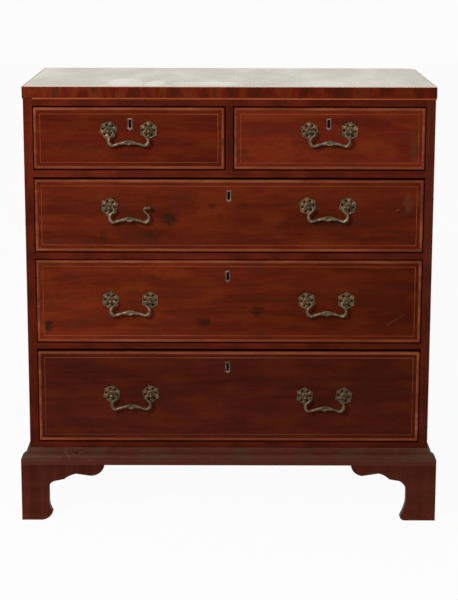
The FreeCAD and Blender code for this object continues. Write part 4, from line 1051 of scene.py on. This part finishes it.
# %% Handle mounts
# how far each handle's left and right rosettes are turned, in degrees
TURNS = {
    "top_left": (14, 0), "top_right": (-4, 6), "upper_left": (9, 0), "upper_right": (-10, 12),
    "middle_left": (5, 2), "middle_right": (-6, 0), "lower_left": (12, -8), "lower_right": (4, 10),
}
NECKS = ((0.0040, 0.0100), (0.0186, 0.0212))  # where a post is thin and keeps dirt and painted shade
NECK_DIRT_AND_SHADE = 0.85
for drawer, handles in PULLS.items():
    mesh = bmesh.new()
    hollow = mesh.verts.layers.float.new("hollow")
    for handle in handles:
        for hand in (-1, 1):
            spot = Vector((pivots[handle].x + hand * GRIP_HALF, FRONT, pivots[handle].z))
            bare = (handle, hand) == BARE
            turned(mesh, EYE_PROFILE if bare else POST_PROFILE, spot)
            turned(mesh, SHANK_PROFILE, spot, steps=12)
            nut(mesh, spot)
            if not bare:
                rosette(mesh, spot, radians(TURNS[handle][(hand + 1) // 2]))
    bmesh.ops.remove_doubles(mesh, verts=mesh.verts, dist=1e-6)
    bmesh.ops.recalc_face_normals(mesh, faces=mesh.faces)
    for vertex in mesh.verts:
        if any(low < FRONT - vertex.co.y < high for low, high in NECKS):
            vertex[hollow] = NECK_DIRT_AND_SHADE
    mounts = piece_from(mesh, f"{drawer}_mounts", handle_brass, smooth=True)
    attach(mounts, drawer)
    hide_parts(f"{drawer}_handle_mounts")
    print(drawer, "mounts", len(mounts.data.polygons), "faces")

# %% [markdown]
# A swan-neck bail is one rod: a pin that turns in the post, a curl, the neck out and back, a tight
# elbow and a long shallow arch to the middle, where it swells into a boss.  A curve with a round
# bevel could bend it so, but couldn't make it flat in one place and fat in another.  All of it is
# arcs, so the arcs are written down first and walked along, to find where the rod ends.

# %% The line of a bail
ROD = 0.0023
PIN_OUT, PIN_IN = 0.0055, 0.007  # how far the pin runs either side of the post's middle
GRIP_RISE = 22  # degrees
GRIP_START = 0.0131  # how far inside the post the grip starts
GRIP_ARC = (GRIP_HALF - GRIP_START) / sin(radians(GRIP_RISE))
# radius, heading at the end from straight down, steps, thickness at the end
BAIL_ARCS = (
    (0.0035, 0, 6, 1.0),  # the curl
    (0.010, 60, 7, 1.2),  # the neck, out
    (0.011, -60, 12, 1.75),  # and back
    (0.008, -90 - GRIP_RISE, 7, 1.35),  # the elbow
    (GRIP_ARC, -90, 16, 1.2),  # half the grip
)


def sideways(heading):
    """Return the way across the rod where it runs at a heading."""
    return Vector((cos(radians(heading)), 0, sin(radians(heading))))


def walk(arcs):
    """Return each arc's radius, middle, headings, thicknesses and steps, and where they end."""
    walked = []
    spot, heading, thick = Vector((GRIP_HALF - PIN_IN, 0, 0)), -90.0, 1.0
    for radius, last, steps, last_thick in arcs:
        ahead = radius if last > heading else -radius
        centre = spot + ahead * sideways(heading)
        walked.append((ahead, centre, (heading, last), (thick, last_thick), steps))
        spot, heading, thick = centre - ahead * sideways(last), last, last_thick
    return walked, spot


WALKED, BAIL_MIDDLE = walk(BAIL_ARCS)
print("half a bail ends", round(BAIL_MIDDLE.x * 1000, 3), "mm from the middle before it is moved")

# %% [markdown]
# The real rod was cast straight, then bent hot round a former.  A modifier can bend a cylinder too,
# but only one arc at a time.  Here one ring of the rod is spun round the middle of each arc in
# turn, and made a little thicker or flatter after each step.

# %% Half a bail
BOSS_HALF = 0.020
BOSS_RADIUS = 0.0060
BOSS_SWELL = BOSS_RADIUS / ROD


def section(spot, thickness, on_grip):
    """Return how tall and how deep the rod is at a spot, as times its first thickness."""
    swell = max(0.0, 1 - abs(spot.x - BAIL_MIDDLE.x) / BOSS_HALF) if on_grip else 0.0
    return (thickness + (BOSS_SWELL - thickness) * swell ** 1.3,
            thickness + (BOSS_SWELL - thickness) * 0.3 * swell)


def stretch(mesh, ring, spot, heading, tall, deep):
    """Stretch a ring of the rod about its middle."""
    there = Matrix.Translation(spot) @ Matrix.Rotation(-radians(heading), 4, "Y")
    change = there @ Matrix.Diagonal((tall, deep, 1, 1)) @ there.inverted()
    bmesh.ops.transform(mesh, matrix=change, space=Matrix.Identity(4), verts=verts_of(ring))


def bail_half(mesh):
    """Sweep the right half of the rod, pin first."""
    start = bmesh.ops.create_circle(mesh, cap_ends=True, segments=12, radius=ROD)["verts"]
    bmesh.ops.rotate(mesh, matrix=Matrix.Rotation(pi / 2, 3, "Y"), verts=start)
    bmesh.ops.translate(mesh, vec=(GRIP_HALF + PIN_OUT, 0, 0), verts=start)
    ring = bmesh.ops.extrude_edge_only(mesh, edges=edges_at(start))["geom"]
    bmesh.ops.translate(mesh, vec=(-PIN_OUT - PIN_IN, 0, 0), verts=verts_of(ring))
    was_tall = was_deep = 1.0
    for ahead, centre, (first, last), (thick, last_thick), steps in WALKED:
        for step in range(1, steps + 1):
            line = [part for part in ring if not isinstance(part, bmesh.types.BMFace)]
            ring = bmesh.ops.spin(mesh, geom=line, cent=centre, axis=(0, 1, 0), steps=1,
                                  angle=-radians(last - first) / steps)["geom_last"]
            heading = first + (last - first) * step / steps
            spot = centre - ahead * sideways(heading)
            tall, deep = section(spot, thick + (last_thick - thick) * step / steps,
                                 abs(ahead) == GRIP_ARC)
            stretch(mesh, ring, spot, heading, tall / was_tall, deep / was_deep)
            was_tall, was_deep = tall, deep


print("a bail's boss is", 2 * BOSS_RADIUS, "m tall")

# %% [markdown]
# The boss carries a small raised lozenge with a sunk field, where green and dirt have gathered
# under painted shade.  A bump in the material would leave the boss's outline round, so it is
# modelled.  A circle of four points is a lozenge already: it is pulled to its shape, lifted, inset
# for a rim, and inset again to sink the field.  The second half of the bail is the mirror image of
# the first.

# %% Boss and the eight bails
LOZENGE_HALF = (0.0115, 1, 0.0058)
LOZENGE_BACK = -0.0034
LOZENGE_LIFT = 0.0019
RIM, RIM_INSIDE, FIELD_DEEP = 0.0012, 0.0004, 0.0009
FIELD_DIRT_AND_SHADE = 0.7


def lozenge(mesh, spot, hollow):
    """Add a lozenge standing on the boss, with its field pushed in."""
    made = bmesh.ops.create_circle(mesh, cap_ends=True, segments=4, radius=1)["verts"]
    bmesh.ops.rotate(mesh, matrix=Matrix.Rotation(pi / 2, 3, "X"), verts=made)
    bmesh.ops.scale(mesh, vec=LOZENGE_HALF, verts=made)
    bmesh.ops.translate(mesh, vec=spot, verts=made)
    lifted = bmesh.ops.extrude_face_region(mesh, geom=list(made[0].link_faces),
                                           use_keep_orig=True)["geom"]
    bmesh.ops.translate(mesh, vec=(0, -LOZENGE_LIFT, 0), verts=verts_of(lifted))
    top = [part for part in lifted if isinstance(part, bmesh.types.BMFace)]
    bmesh.ops.inset_individual(mesh, faces=top, thickness=RIM)
    bmesh.ops.inset_individual(mesh, faces=top, thickness=RIM_INSIDE, depth=-FIELD_DEEP)
    for vertex in top[0].verts:
        vertex[hollow] = FIELD_DIRT_AND_SHADE


def bail(handle):
    """Make the bail of one handle where it hangs."""
    mesh = bmesh.new()
    hollow = mesh.verts.layers.float.new("hollow")
    bail_half(mesh)
    bmesh.ops.translate(mesh, vec=(-BAIL_MIDDLE.x, 0, 0), verts=mesh.verts)
    bmesh.ops.mirror(mesh, geom=mesh.verts[:] + mesh.edges[:] + mesh.faces[:], axis="X",
                     matrix=Matrix.Identity(4), merge_dist=0.00001)
    lozenge(mesh, Vector((0, LOZENGE_BACK, BAIL_MIDDLE.z)), hollow)
    bmesh.ops.remove_doubles(mesh, verts=mesh.verts, dist=1e-6)
    bmesh.ops.recalc_face_normals(mesh, faces=mesh.faces)
    bmesh.ops.translate(mesh, vec=pivots[handle], verts=mesh.verts)
    made = piece_from(mesh, f"{handle}_swan_neck", bail_brass, smooth=True)
    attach(made, f"bail_{handle}")
    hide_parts(f"{handle}_bail")
    return made


bails = [bail(handle) for handle in pivots]
print("bails", len(bails), "each", len(bails[0].data.polygons), "faces",
      [round(side, 4) for side in bails[0].dimensions])

# %% [markdown]
